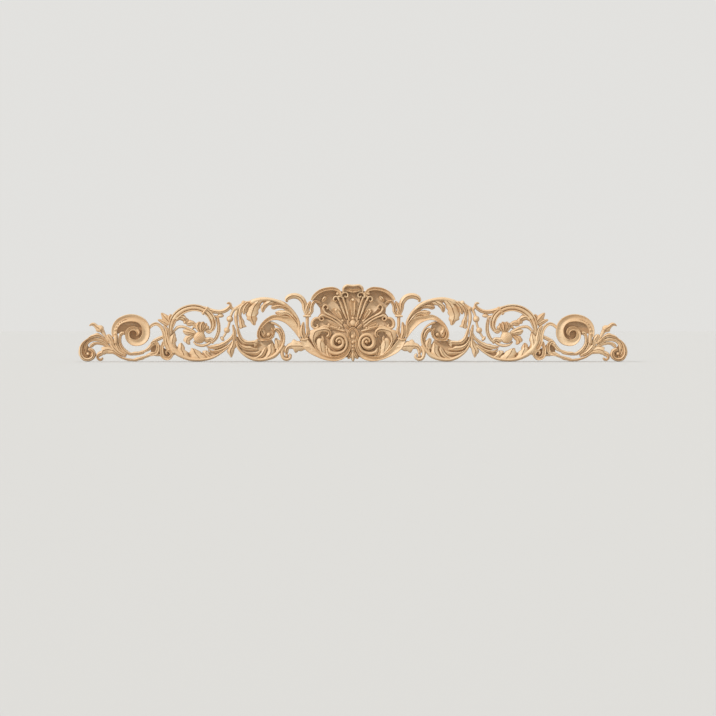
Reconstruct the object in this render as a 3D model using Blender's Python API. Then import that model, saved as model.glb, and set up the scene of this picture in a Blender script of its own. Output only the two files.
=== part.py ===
"""Carved wooden applique: a long pierced ornament in low relief, cut from one board.

One solid. The carving is built for one side as strokes (stems, bands, small leaves), larger
leaves laid between their two edges, round berries and sunk grounds, all in mm: out = distance
from the middle line, up = height above the lowest scroll, height = above the flat back, where
the full board is 25 mm. They are united, cut off flat at the back and mirrored at X = 0.
Frame: X is the length, the carved face looks along -Y, the flat back lies at y = 0,
the origin is the centre of the back. Metres, +Z up.
"""
import bpy
import bmesh
import math
import numpy as np
from mathutils import Matrix, Vector

MM = 0.001
LENGTH = 1097.0            # tip to tip
HEIGHT = 153.0             # lowest scroll to the crest
BACK_OVERRUN = 6.0         # strokes run this far behind the back before it is cut flat
RUN_STEP = 46.0            # longest straight facet along a stroke
BEND_STEP = math.radians(50)  # most a stroke turns from facet to facet
FINE_STEPS = 30            # points for each knot when a spine is measured
CURVE_WINDOW = 13          # points over which the curvature is averaged
THINNEST = 0.4             # least half width, at a leaf's tip
BROAD = 8.0                # half width from which a stroke gets five points across
BERRY_SIDES = 8
BEAD_SIDES = 6
BIG_BERRY = 5.0
FACET_SHARE = 0.54         # facets kept after one side's pieces are united
INNER_SHARE = 0.85         # a bend's inner edge stays this far from its centre

# a section gives height (0 edge to 1 crest) at points across the stroke, -1 to 1
LEAF = {"few": [(-1, 0), (0, 1), (1, 0)], "many": [(-1, 0), (-0.62, 0.86), (0, 0.66), (0.62, 0.86), (1, 0)]}
ROUND = {"few": [(-1, 0), (0, 1), (1, 0)], "many": [(-1, 0), (-0.6, 0.8), (0, 1), (0.6, 0.8), (1, 0)]}
RIDGE = {"few": [(-1, 0), (0, 1), (1, 0)], "many": [(-1, 0), (-0.5, 0.5), (0, 1), (0.5, 0.5), (1, 0)]}
HOLLOW = {"few": [(-1, 0.8), (0, 0.45), (1, 0.8)],
          "many": [(-1, 0.8), (-0.8, 1), (0, 0.45), (0.8, 1), (1, 0.8)]}
BAND = {"few": [(-1, 0.5), (0, 1), (1, 0.5)], "many": [(-1, 0.6), (-0.7, 1), (0, 0.62), (0.7, 1), (1, 0.6)]}
FLAT = {"few": [(-1, 1), (0, 1), (1, 1)], "many": [(-1, 1), (0, 1), (1, 1)]}

# name, height of the ground, outline (out, up)
GROUNDS = [
    ("shell ground", 9, [(80, 123), (74, 136), (56, 143), (36, 143), (24, 140), (16, 140), (-2, 140),
     (-2, 56), (14, 54), (26, 52), (44, 46), (56, 52), (70, 60), (79, 67), (80, 80), (72, 87), (65, 96),
     (66, 106), (74, 116)]),
    ("crest ground", 15, [(18.8, 140), (19.2, 145.6), (14, 151.2), (8, 150.8), (-2, 149.6), (-2, 137.2),
     (5.2, 138)]),
    ("leaf ground", 9, [(88, 56), (78, 62), (56, 64), (44, 56), (44, 32), (48, 8), (70, 12)]),
    ("scroll 3 ground", 10, [(233, 50), (224, 45), (210, 39), (194, 38), (186, 42), (174, 40), (162, 43),
     (156, 32), (146, 26), (154, 10), (174, 2), (202, 6), (220, 18), (232, 30)]),
    ("scroll 2 ground", 10, [(362, 42), (352, 30), (340, 21), (326, 16.8), (306, 16.8), (286, 19),
     (262, 28), (248, 36), (262, 20), (282, 8), (306, 2), (330, 5), (350, 16), (362, 30)]),
    ("volute ground", 10, [(46, 50), (32, 56), (18, 58.8), (10, 61.2), (-2, 62), (-2, 10), (12, 8),
     (30, 6), (50, 8), (54, 28)]),
    ("spiral ground", 8, [(476, 55.2), (472, 72), (444, 86), (422, 82), (410, 64), (412, 46), (424, 34),
     (440, 34), (449.2, 40.8), (452, 49.2), (454, 55.2)]),
    ("end ground", 9, [(542, 34), (536, 40), (528, 28.8), (518, 23.2), (515.2, 18), (516.8, 10),
     (523.2, 4), (532, 2), (540, 4.8), (544.8, 12.8), (545.2, 24)]),
    ("leaf root ground", 10, [(102, 40), (96, 48.8), (86.8, 50), (82, 32), (70, 20), (62, 8), (78, 18),
     (94, 30)]),
    ("lobe ground", 13, [(182, 122.8), (166, 124), (146, 118), (130, 108.8), (116.8, 96), (108, 78),
     (105.2, 58), (111.2, 68), (118.8, 86), (130, 98.8), (144, 106.4), (155.2, 110), (168.4, 112.4),
     (178, 112.8)]),
    ("stem root ground", 12, [(154, 91.2), (144, 96.4), (128, 94.8), (114, 82), (108, 62), (122, 77.2),
     (138, 85.2)]),
    ("side lobe ground", 12, [(222.4, 112.8), (214, 118.8), (198, 122), (180, 122), (184.8, 112),
     (194, 104), (206, 103.2), (212.8, 97.2), (220, 96.4), (224.8, 100.8)]),
    ("eye ground", 10, [(182, 72), (170, 80), (158, 74), (154, 62), (158, 48), (170, 40), (184, 44),
     (188, 58)]),
]

# name, section, height of the edges, spine, half widths and heights of the crest from root to tip
STROKES = [
    ("crest side", ROUND, 14, [(19.6, 138.8), (18.2, 146.8), (12.4, 151.4), (5, 151), (-2, 150.4)],
     [1.8, 2.6, 2.5, 2.4, 2.6], [19, 23, 25, 25, 25]),
    ("crest bowl", HOLLOW, 13, [(14.8, 144.8), (8, 141.6), (-2, 140.4)], [1.8, 3.2, 4.2],
     [20, 22, 22.5]),
    ("arch", HOLLOW, 14, [(83, 122), (77.4, 130.4), (70, 137.2), (60, 142.4), (49, 144.8), (39.4, 145),
     (31.4, 142.4), (25.8, 137), (25.6, 131.2), (30.2, 129.2)],
     [2.4, 3.4, 3.6, 3.7, 3.7, 3.6, 3.6, 3.2, 2.6, 1.8], [19, 21, 22, 22, 22, 22, 22, 21, 20, 18]),
    ("ray 4", ROUND, 11, [(20.8, 129), (15.6, 114), (10.8, 96), (7.2, 80)], [2.2, 2.2, 2.1, 1.8],
     [18, 17, 16, 14]),
    ("ray 3", ROUND, 11, [(31.6, 127.6), (26.8, 120.8), (22.8, 111.2), (18.8, 99.6), (12.4, 84)],
     [2, 2.2, 2.2, 2, 1.8], [17, 17, 16, 15, 14]),
    ("ray 2", ROUND, 11, [(59.2, 106), (55.6, 98), (46.8, 92.4), (32.2, 84.8), (20, 75.2)],
     [2, 2.2, 2.2, 2, 1.8], [17, 17, 16, 15, 14]),
    ("ray 1", ROUND, 11, [(66.4, 87.2), (59.2, 90.6), (49.6, 88.2), (39.6, 83.2), (29.6, 76), (20, 68)],
     [2, 2.2, 2.2, 2, 2, 1.8], [17, 17, 16, 15, 14, 13]),
    ("dart 1", HOLLOW, 11, [(0, 122.8), (0, 110), (0, 90)], [5.2, 4.6, 2.8], [19, 19, 16]),
    ("dart 2", HOLLOW, 11, [(33.2, 101.6), (28, 93.6), (22.8, 84.8)], [4, 3.6, 2.4], [18, 17.5, 15]),
    ("dart 3", HOLLOW, 11, [(47.6, 72.8), (39, 70.2), (29.6, 67.2)], [3.8, 3.4, 2.4], [18, 17.5, 15]),
    ("side curl", ROUND, 11, [(65, 86), (74.8, 85.6), (80.8, 79.4), (81.2, 70.8), (75.6, 66.2),
     (70, 69.6), (72.2, 74.2)], [2.4, 2.8, 3, 3, 2.8, 2.4, 1.4], [16, 17, 18, 18, 17, 16, 15]),
    ("bead bar", FLAT, 14.5, [(0, 64), (0, 42), (0, 18)], [4.8, 5.6, 4.4], [15, 15, 15]),
    ("husk side", LEAF, 12, [(2, 21), (5.2, 12), (10.4, 5.2)], [2.4, 4.6, 2.4], [16, 18, 15]),
    ("husk", RIDGE, 12, [(0, 22), (0, 11), (0, 0)], [2.8, 5, 2], [17, 20, 16]),
    ("lower band", HOLLOW, 13, [(99, 44.8), (93.4, 34), (84, 23.4), (72, 14.8), (59, 8.4), (45, 5.2),
     (30.4, 6), (17.2, 12), (8.8, 23.4), (6.6, 38), (9.4, 53.2), (5.6, 63), (-2, 67)], [6.4, 8.4, 7.6,
     5.8, 4.8, 4.6, 4.8, 4.8, 3.8, 2.6, 2.4, 2.4, 2.4],
     [17, 18, 19, 20, 21, 22, 22, 22, 21, 20, 20, 20, 20]),
    ("volute", ROUND, 15, [(48.8, 27), (44.2, 18.4), (32.4, 15.2), (19.2, 20.2), (12.6, 32), (14.8, 46),
     (24.8, 52.8), (35.6, 50.8), (41.2, 42), (39.6, 31.2), (30, 26.4), (21.4, 31.4), (20, 40.4),
     (26, 46), (32.2, 43.4), (32.8, 37.2)], [1.6, 3.4, 3.8, 3.4, 3, 3.1, 3.2, 3.6, 4.2, 4.2, 4.2, 4, 3.8,
     3.4, 3, 2], [18, 21, 22, 22.5, 23, 23, 23, 23, 23, 23, 23.5, 24, 24, 24, 24, 24]),
    ("calyx left", LEAF, 12, [(97, 44), (101.6, 60), (98.8, 78.8)], [3.2, 6, 1.6], [18, 20, 17]),
    ("neck", RIDGE, 12, [(91.4, 66), (91.4, 82), (91.4, 97)], [3.2, 3.2, 3.8], [16, 17, 16]),
    ("collar", ROUND, 12, [(99.2, 90.4), (91.4, 90.2), (83.6, 90.4)], [2, 2.6, 2], [18, 19, 18]),
    ("plume", LEAF, 12, [(92, 91), (96.2, 104), (97.6, 116), (104.2, 126), (113.6, 130.4),
     (124.2, 129.8), (132, 124.6), (132, 118)], [2.8, 4.4, 5.4, 5.8, 5.8, 5.6, 5, 2.2],
     [16, 17, 18, 19, 20, 20, 20, 19]),
    ("bulb", LEAF, 12, [(89.2, 92), (92.2, 102.8), (88.8, 113.2), (84.8, 120.4)], [2.4, 4.6, 4.4, 1.4],
     [16, 18, 18, 16]),
    ("crook", LEAF, 12, [(88.8, 92), (83, 100), (82, 111), (76.8, 119), (70, 118.8), (64, 115.2)],
     [2.8, 4, 3.8, 3.6, 2.8, 1.2], [16, 18, 19, 19, 18, 17]),
    ("berry stem", ROUND, 11, [(206, 118.8), (218, 116.2), (229.2, 109.6), (238, 102.8), (243, 94),
     (246.4, 80), (250, 66), (255.2, 54.8), (262.4, 43.6)],
     [2.4, 2.4, 2.4, 2.8, 2.6, 2.4, 2.2, 2.2, 1.6], [15, 15, 15, 15, 15, 15, 15, 14, 13]),
    ("branch", LEAF, 12, [(306, 108.8), (290.8, 103.6), (275.2, 99.2), (262, 99.2), (251.6, 103.6),
     (245, 110.8), (247.2, 116.6), (252.4, 115.2)], [2.6, 4.4, 4.4, 4.4, 4.2, 4, 3, 1.6],
     [17, 18, 18, 18, 18, 18, 18, 17]),
    ("hook root", ROUND, 11, [(245, 110), (241.2, 105), (238, 102)], [3.2, 3, 2.8], [15, 15, 15]),
    ("crown band", BAND, 12, [(364.4, 53), (363, 71.2), (355.4, 88.6), (341.6, 100.6), (326, 106.4),
     (310.8, 106.6), (297.6, 102), (287.2, 94), (280.8, 83.2), (279.2, 71.2), (284, 62), (295.2, 61.2)],
     [1.4, 5, 6.6, 7.2, 7.2, 7, 6.8, 6.6, 6.6, 6, 4.4, 2.2],
     [16, 17, 18, 19, 20, 20, 20, 20, 19, 18, 17, 16]),
    ("tendril", ROUND, 11, [(359.2, 59), (349.6, 68), (338, 68.4), (326.8, 64.4), (315, 58)],
     [2, 3, 2.8, 2.6, 2.4], [14, 15, 16, 16, 16]),
    ("flower neck", ROUND, 11, [(300, 66), (304, 52)], [4.8, 5.2], [15, 15]),
    ("petal 2", LEAF, 10, [(315, 54), (328, 48), (337.2, 40)], [2.4, 4.4, 1.8], [14, 14, 12]),
    ("cup", ROUND, 11, [(318.8, 39.6), (312.4, 33.4), (301.2, 31.2), (290.8, 34), (284, 38.8)],
     [1.4, 2.4, 2.8, 2.8, 2.4], [14, 16, 16, 16, 15]),
    ("right band", BAND, 11, [(270.8, 86), (268.2, 70.8), (269.2, 57.2), (274.8, 44.8), (283.6, 36.4)],
     [3, 3.4, 3.6, 3.4, 2.4], [16, 17, 17, 17, 15]),
    ("band tooth", ROUND, 11, [(268, 87), (274, 89), (282.8, 88.8)], [3.2, 2.8, 2.8], [15, 15, 15]),
    ("link stem", HOLLOW, 12, [(407, 66.8), (400.8, 72.4), (392.8, 74.8), (384.8, 70), (379.8, 62),
     (376.8, 50.8), (375.2, 37.2), (368.8, 24.4), (356.8, 12.8)],
     [2.6, 3.2, 3.2, 3.2, 3.2, 3.4, 3.6, 3.8, 3.2], [16, 16, 16, 16, 16, 16, 16, 16, 16]),
    ("link stem 2", LEAF, 12, [(378, 71.6), (372.2, 63.6), (369.6, 51.2), (366.6, 38), (360.8, 24.8),
     (351.2, 14)], [1.8, 4.2, 4.6, 4.6, 4.6, 3.6], [15, 17, 17, 17, 16, 16]),
    ("link leaf 1", LEAF, 11, [(364, 75.2), (373.2, 85.2), (383.2, 96.8)], [4.8, 7.2, 1.6],
     [16, 16, 13]),
    ("link leaf 2", LEAF, 11, [(369.2, 72.8), (380, 79.2), (390, 83.2)], [4, 4.8, 1.6], [15, 15, 13]),
    ("link spur", LEAF, 11, [(376.8, 50), (388.8, 44.8), (400.8, 38.8)], [3.2, 3.8, 2.8], [15, 15, 15]),
    ("curl 1", HOLLOW, 11, [(405, 13.2), (393.2, 16.8), (389.6, 28.8), (394.4, 38.4), (401.6, 36.4),
     (401.2, 28.8)], [3.4, 3.6, 3.4, 3.4, 2.8, 1.6], [15, 16, 16, 17, 17, 16]),
    ("curl 2", HOLLOW, 11, [(378.4, 39), (382.2, 24), (379.6, 10), (369.6, 5.6), (362.4, 12.8),
     (366.4, 20.8), (372.8, 18.8), (371.6, 13.6)], [2.8, 3.4, 3.8, 3.8, 3.6, 3, 2.2, 1.4],
     [15, 16, 17, 17, 17, 17, 17, 16]),
    ("sheath", LEAF, 11, [(485, 43), (478.8, 29.2), (468, 18), (453, 10)], [2.8, 4.8, 4.4, 2.4],
     [15, 16, 16, 15]),
    ("foot curl", ROUND, 12, [(135.2, 30.8), (141.2, 22), (141.6, 14), (138.4, 6.4), (132, 4),
     (126, 6.8), (124.8, 12), (128, 15.2)], [2, 3.8, 3.8, 3.6, 3.6, 3.4, 2.8, 1.6],
     [17, 18, 19, 20, 20, 20, 20, 19]),
    ("side leaf", LEAF, 11, [(240, 73), (237.6, 62), (236.4, 53), (238, 46)], [1.6, 3, 3.8, 2],
     [15, 16, 16, 15]),
    ("bud stem", ROUND, 11, [(501.2, 60.8), (495.6, 51.2), (487.6, 39)], [4.4, 2.6, 3.2], [15, 14, 14]),
    ("tie", ROUND, 12, [(473.6, 52), (473.6, 43), (473.6, 34)], [3.6, 4, 3.6], [19, 20, 19]),
    ("fold a", LEAF, 12, [(305.2, 60), (308.8, 66), (309.2, 72.8), (305.6, 79.2)],
     [2.8, 4.8, 5.2, 4.4, 1.8], [17, 19, 19.5, 18]),
    ("fold b", LEAF, 12, [(302.8, 60), (302.4, 66), (301.6, 72.8), (298, 79.2)], [2.8, 4.4, 5, 4.2, 1.8],
     [18, 20.5, 21, 19]),
    ("fold c", LEAF, 12, [(300.4, 60), (297.2, 64.8), (294.4, 70.4), (293.2, 76.4)],
     [2.4, 3.8, 4.2, 3.2, 1.4], [17, 19, 19, 17]),
]

# name, section, height of the edges, left edge, right edge, heights of the crest
LEAVES = [
    ("great leaf", ROUND, 12, [(102, 48), (104.4, 66), (106.4, 81), (114.4, 96.8), (126, 110),
     (138, 119), (151, 123.6), (166, 127.2), (182, 128), (198, 124.8), (210, 120)], [(110, 48),
     (110, 66), (111.6, 82), (120.4, 95), (131.4, 105.6), (141.4, 111.6), (152.4, 116.8), (166, 119.6),
     (181, 119.6), (194, 116.4), (203, 110)], [17, 18, 19, 20, 21, 21, 21, 21, 20, 19, 17]),
    ("lobe E", LEAF, 11, [(107, 78), (111, 82.8), (117, 90.8), (125, 98), (134, 102), (143, 102.8),
     (150, 101.6), (156, 97.4)], [(113, 66), (118, 77), (122.8, 82.2), (128, 89.2), (134.8, 91.8),
     (143.6, 89.6), (150.4, 92.2), (156, 96.2)], [17, 18, 18, 17, 17, 16, 15, 13]),
    ("lobe D", LEAF, 11, [(122, 104), (129, 107.4), (137, 111.6), (148, 113.6), (158.4, 112.6),
     (164, 109.2)], [(125, 99), (133, 102.8), (142, 105), (151, 104.8), (159, 103), (164, 106)],
     [18, 18, 18, 18, 17, 15]),
    ("lobe C", LEAF, 11, [(174, 123), (178, 118.2), (182.8, 113.2), (185, 107.2), (184, 101.2),
     (180.8, 97.2)], [(152, 116), (162, 112.2), (168.8, 110.2), (173.2, 106.4), (176, 102),
     (179.2, 97.4)], [19, 19, 18, 18, 16, 14]),
    ("lobe B", LEAF, 11, [(194, 123), (202, 114.8), (208.8, 108), (212.4, 100.8), (214.8, 92),
     (213.4, 84.4), (207.4, 80.2), (201.4, 73.8), (198.8, 72)], [(177, 122), (182.8, 115), (185.6, 108),
     (187.2, 100.8), (189.6, 94), (190.6, 86.8), (192, 80), (195.2, 72.4), (197.2, 71.8)],
     [19, 19, 18, 18, 17, 17, 16, 15, 14]),
    ("lobe A", LEAF, 11, [(213, 121), (223, 115), (228.2, 107), (229.6, 96), (229, 84), (228.6, 75),
     (228, 68), (225.2, 64)], [(206, 117), (214, 109), (219, 102), (222.8, 91.6), (218, 82), (215, 74),
     (212.8, 69.2), (220.8, 66.6)], [18, 18, 17, 16, 16, 16, 15, 14]),
    ("side rim", ROUND, 11, [(226, 111), (232.8, 105), (236.8, 96), (237.6, 86), (236.2, 77),
     (233.6, 68.4), (231.6, 62)], [(221.2, 109.4), (228, 103.4), (230.2, 94), (230.4, 85), (229.8, 76.4),
     (228.8, 68.4), (226.8, 62)], [16, 16, 16, 16, 16, 16, 16]),
    ("tip 1", LEAF, 11, [(229, 69), (225, 57), (221.2, 48.4), (214, 42.6), (204.8, 41.2), (197.6, 42.4),
     (190.8, 44.8), (187.2, 40.8)], [(233.2, 64), (231.2, 54), (227.2, 43.2), (218.8, 34.4),
     (208.8, 32.8), (198.4, 32.4), (197.2, 27.2), (190.8, 32.8)], [16, 17, 18, 18, 18, 17, 16, 14]),
    ("tip 2", LEAF, 11, [(234, 56), (230.8, 44.8), (224.8, 36), (216, 31.6), (206, 31.2), (198, 26.8),
     (190.4, 26)], [(236, 50), (233.2, 38.8), (226.4, 28.8), (217.2, 22.2), (206.8, 20.6), (196.8, 21.4),
     (188.8, 22.8)], [15, 17, 18, 18, 17, 16, 14]),
    ("tip 3", LEAF, 11, [(236, 46), (232.8, 35.2), (226, 25.2), (215.2, 19.2), (203, 18), (192, 19.2),
     (184, 23.2)], [(234, 36), (229.2, 26.8), (221.2, 18), (211.6, 14), (200.8, 12.8), (190, 12.8),
     (183.6, 18.8)], [15, 17, 18, 18, 17, 16, 14]),
    ("lobe 4", LEAF, 11, [(206, 7.2), (196, 8.8), (188, 13.2), (183.2, 19.6), (179.2, 24.8),
     (176, 29.6)], [(194, 2.8), (184, 5.6), (177.2, 11.2), (173.4, 17.6), (172, 24), (173.6, 28.4)],
     [18, 18, 17, 17, 16, 14]),
    ("lobe 5", LEAF, 11, [(188, 3.2), (178, 8.8), (172.8, 16.8), (171.6, 24.8), (170.4, 32), (166.8, 34),
     (164, 37.2)], [(170, 2.8), (161.6, 10), (155.6, 16.8), (154.8, 23.2), (157.2, 29.2), (158.4, 34),
     (160.8, 37.6)], [18, 18, 18, 17, 17, 16, 14]),
    ("lobe 6", LEAF, 11, [(166, 4), (156.8, 12.8), (154, 22), (153, 26.8), (150, 29.6)], [(156, 8),
     (148, 16.4), (144, 24.4), (143.6, 27.6), (147.2, 28.8)], [18, 17, 17, 16, 14]),
    ("inner leaf", LEAF, 11, [(156.4, 24), (157.4, 30.8), (157.6, 38), (156.4, 44), (154.8, 46.8)],
     [(144, 26.8), (141.6, 36), (144, 41.2), (148.4, 42.8), (151.6, 46.4)], [16, 17, 17, 16, 14]),
    ("curl tip", LEAF, 11, [(139.6, 32), (139, 44), (139.6, 54), (142.4, 60.8), (146.8, 65.6),
     (152.4, 67.6), (157.2, 65.2), (160.4, 60.8)], [(144, 32), (145.2, 42), (148, 50), (150.8, 55.6),
     (154, 59.2), (156.4, 59.6), (157.4, 56), (158.8, 52)], [16, 17, 18, 18, 18, 18, 17, 16]),
    ("lower leaf", ROUND, 12, [(236.8, 40), (232.8, 28.8), (226.8, 19.2), (218, 10.8), (207.2, 4),
     (194, 0), (180, 0), (166, 2.8), (154, 8), (145.2, 18), (139.2, 28), (135.6, 40), (136, 54),
     (140.8, 64.8), (148, 72.8), (158, 78.4), (166.8, 80.8)], [(232, 40), (228.4, 30.8), (222.4, 22.4),
     (213.2, 14.8), (202.8, 9.6), (192, 6.8), (180, 7.2), (168, 10.4), (158, 16), (149.2, 24),
     (143.6, 32), (140, 42), (139.6, 52.8), (143.2, 62), (149.6, 68.8), (158, 73.2), (165.2, 75.2)], [16,
     17, 18, 19, 20, 20, 20, 20, 20, 20, 20, 20, 19, 19, 19, 18, 16]),
    ("spiral stem", HOLLOW, 12, [(104.8, 54), (110.8, 73), (118.8, 83.2), (128.8, 89.2), (142, 91.2),
     (154, 93.6), (165.2, 90.8), (176.8, 82.8), (185.6, 72.4), (191.2, 60), (191.6, 48.8), (186.4, 41.2),
     (176, 40.4), (165.2, 42), (158.4, 48.8), (156, 56.8), (158.8, 63.2), (162.8, 67.6)], [(106, 43.2),
     (116, 56.8), (126, 68), (134.8, 75.6), (144.8, 80.4), (154.8, 82.4), (164.4, 80.8), (172.4, 75.6),
     (180.8, 66.8), (185.6, 58), (185.2, 51.2), (181.2, 46.4), (174.4, 45.2), (167.6, 46.8),
     (163.2, 51.2), (161.2, 56.8), (162.4, 62), (164.4, 65.2)], [16, 17, 17, 18, 19, 19, 19, 20, 20, 20,
     20, 20, 20, 20, 20, 20, 20, 18]),
    ("curl leaf", LEAF, 11, [(366.8, 56), (366.2, 70), (363.2, 78.8), (356.8, 86.4), (348.8, 91.2),
     (340.8, 93.6), (334.4, 90.4), (332.2, 84.8), (332.8, 82)], [(360, 56), (360.8, 67.2), (357.2, 74.8),
     (352.8, 79.6), (347.2, 81.6), (342, 80.8), (338.8, 80), (335.6, 81.2), (334, 81.6)],
     [15, 16, 17, 18, 18, 18, 18, 17, 15]),
    ("petal 1", LEAF, 11, [(314, 60), (320, 59.6), (326, 62.8), (334, 64.8), (340.2, 63.2)],
     [(314, 53.6), (321, 52.4), (328, 52), (335.2, 52.8), (340.2, 58.8)], [16, 17, 17, 16, 14]),
    ("petal 5", LEAF, 11, [(299, 49), (292, 47.6), (285.2, 48.6), (279.2, 46), (276.2, 40)], [(296, 37),
     (290.8, 37.2), (286, 39.6), (283.2, 36.4), (280.8, 32.8)], [16, 16, 16, 16, 14]),
    ("crescent 1", LEAF, 11, [(292.8, 29.6), (284, 32), (274.8, 34.4), (264.8, 37), (256, 40.8),
     (248.4, 46), (242.8, 52.8), (238.8, 60)], [(292.4, 28.4), (285.2, 24.4), (276.4, 22.8),
     (264.4, 26.2), (254, 32.8), (245.6, 39.2), (239.2, 46), (236.8, 56)],
     [14, 16, 17, 17, 16, 16, 15, 14]),
    ("crescent 2", LEAF, 11, [(290.4, 26), (280.8, 22), (268, 24.2), (256.8, 29.2), (246.8, 36),
     (240, 44)], [(288.8, 21.2), (279.6, 17.2), (269.2, 16.8), (258.4, 20.8), (249.2, 27.2),
     (241.6, 35.2)], [14, 16, 17, 17, 16, 15]),
    ("bottom leaf", ROUND, 12, [(244, 30), (252.8, 22.8), (262, 15.6), (276, 6.8), (292, 1.4),
     (310, -0.4), (326, 0.8), (340, 5.2), (354, 12.4), (364, 22.8), (369.6, 35.2), (370, 48)],
     [(248, 32.8), (256.8, 24.4), (266.8, 17.2), (280.8, 10.4), (295.2, 7.2), (310, 6.4), (324, 8),
     (336, 12.8), (347.2, 20.8), (356.8, 30.4), (362, 40), (364.8, 50)],
     [16, 17, 18, 19, 20, 20, 20, 20, 19, 18, 17, 16]),
    ("spur 1", LEAF, 11, [(364, 18), (367.2, 28), (368.4, 38), (367.6, 46), (364.8, 52), (357.8, 56.8)],
     [(346, 14), (351.6, 20.8), (354, 30), (352.2, 39.2), (352.4, 45.2), (356, 56.8)],
     [18, 18, 17, 17, 16, 14]),
    ("spur 2", LEAF, 11, [(340, 4), (346.8, 12), (350.8, 20.8), (351.6, 26.8), (349.6, 32),
     (346.8, 35.6), (343.6, 37.4)], [(322, 2.8), (326.8, 11.2), (329.2, 17.6), (334, 22), (335.6, 26.8),
     (338.8, 32.4), (341.6, 36.4)], [18, 18, 17, 17, 16, 15, 14]),
    ("spur 3", LEAF, 11, [(318, 1.2), (324, 8), (326.8, 14), (326.4, 20), (324.8, 24.8), (322.4, 26.8)],
     [(290, 4), (294, 10.8), (301.2, 16), (306.4, 20.8), (313.2, 24), (320, 26.2)],
     [18, 18, 17, 17, 16, 14]),
    ("spur 4", LEAF, 11, [(290, 4.8), (296.8, 12.8), (302, 18.8), (298.8, 21.2), (294.8, 22)],
     [(274, 9.2), (280.8, 10.4), (284.8, 14), (286.4, 18), (290, 21.2)], [18, 17, 16, 15, 14]),
    ("foot leaf", LEAF, 11, [(90, 36), (100, 34.8), (106, 39.6), (112.8, 43.2), (120, 43.4),
     (126.8, 36.8), (132.8, 32.6), (136.8, 26.8), (138, 20), (135.2, 14.4)], [(82, 19.2), (93.2, 21.6),
     (102, 20.4), (108.8, 17.6), (116, 17.2), (120, 24), (125.2, 24.4), (128.4, 21.2), (129.4, 17.6),
     (130.4, 14.4)], [16, 17, 18, 18, 18, 18, 18, 18, 18, 17]),
    ("end leaf", LEAF, 12, [(484, 38), (491.2, 41.6), (497.6, 48), (504, 54), (511.2, 56.8), (518, 54.2),
     (524.4, 51.6), (529.2, 47.2), (535.2, 42.8), (541.6, 37.2), (546, 30), (548.2, 22), (547.6, 13.2),
     (544, 6), (538, 1), (531.2, -0.4), (524, 0.8), (517.6, 4.8), (513.8, 11.6), (514.4, 18.4),
     (518, 24), (523.2, 26.6), (526.8, 29.2)], [(484, 32.4), (491.6, 37.2), (498, 42.4), (504.4, 46),
     (511.2, 47.4), (518.8, 46.4), (524.8, 44.8), (529.2, 42.6), (533.2, 40), (536.4, 36), (538.6, 30.8),
     (540, 24.8), (540.4, 18.8), (538.8, 13.2), (535.2, 8.8), (530.8, 7.2), (526.8, 7.6), (523.2, 10.4),
     (521.6, 14), (522.4, 17.2), (524.8, 19.6), (528, 20.8), (530.8, 20.4)], [15, 16, 17, 17, 18, 18, 18,
     18, 18, 19, 19, 19, 19, 19, 19, 19, 19, 19, 19, 19, 18, 17, 16]),
    ("end leaf 2", LEAF, 11, [(486, 31.6), (494.8, 40.8), (503.2, 46), (511.2, 47.4), (519.2, 46.4),
     (526, 44.6), (532, 40.8), (536.6, 35.6), (538.8, 29.2), (537.2, 24.4), (533.6, 21.4)], [(486, 26.8),
     (494.8, 32.4), (500.8, 36), (508, 38.8), (516, 40), (523.2, 38.6), (527.6, 35.6), (530.2, 31.6),
     (531.4, 27.6), (531.6, 24), (532.2, 21.2)], [14, 14, 15, 15, 15, 15, 15, 16, 16, 16, 15]),
    ("end leaf 3", LEAF, 10, [(482, 30), (494, 33.4), (502, 37.2), (511, 38.8), (519, 38), (524.8, 34),
     (527.2, 29.2)], [(482, 26), (493, 29.2), (501, 31.6), (509.4, 33.2), (515.6, 32), (520.2, 28.4),
     (523.2, 26.4)], [14, 14, 14, 14, 14, 14, 14]),
    ("end leaf 4", LEAF, 11, [(480, 27), (490, 31), (497.2, 30.2), (502.8, 27.2), (501.2, 23.2),
     (506.4, 20), (510.8, 16.8), (513.2, 12), (512, 5.2), (507.2, 0.8), (501.6, 1.2), (498.4, 5.6)],
     [(477, 14.8), (486, 15.4), (492.8, 14.6), (496.8, 12.8), (500, 11.2), (503.2, 10), (506, 9.2),
     (507.2, 8), (506.8, 6.4), (505.2, 5.6), (502.8, 6.8), (500.8, 8.8)],
     [14, 15, 16, 16, 16, 16, 17, 17, 17, 17, 17, 16]),
    ("beak", LEAF, 11, [(496.8, 62), (499.2, 69.2), (504.4, 73.2), (509.2, 72.4), (512.8, 74.8),
     (516.8, 77.4), (522, 76.8), (527.2, 72.4)], [(506.8, 57.2), (511.6, 59.2), (514.4, 60.8),
     (515, 64.8), (516.8, 68), (519.6, 70.2), (523.2, 71.2), (526.6, 69.6)],
     [17, 18, 17, 17, 16, 16, 15, 14]),
    ("outer spiral", HOLLOW, 12, [(481.6, 48), (482.4, 60), (480.4, 71), (474.4, 81.2), (465.2, 88.4),
     (454.4, 92.8), (443, 94.4), (431, 92.6), (420, 87.6), (412, 80.4), (407.2, 71.2), (405.6, 61),
     (406.4, 50.8), (410, 42), (416, 35.6), (424, 31.6), (433, 30.4), (442, 32.2), (449.6, 38),
     (454, 45.2), (455.2, 53.2), (453.2, 61.2), (448, 67.2), (441.2, 69.6), (434, 69.2), (428.2, 65.2),
     (425.8, 58.8), (427.2, 52)], [(470, 49.2), (471.4, 59.2), (469.6, 66), (464.8, 72.4), (458.4, 76.4),
     (450, 78.6), (442, 79.2), (434.8, 78.4), (428.8, 76), (424, 71.6), (421, 65.6), (420.4, 60),
     (421.6, 53.6), (424.4, 48.4), (428.4, 44.8), (432.8, 43.2), (438, 43.6), (442.4, 46), (445.2, 49.6),
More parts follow.
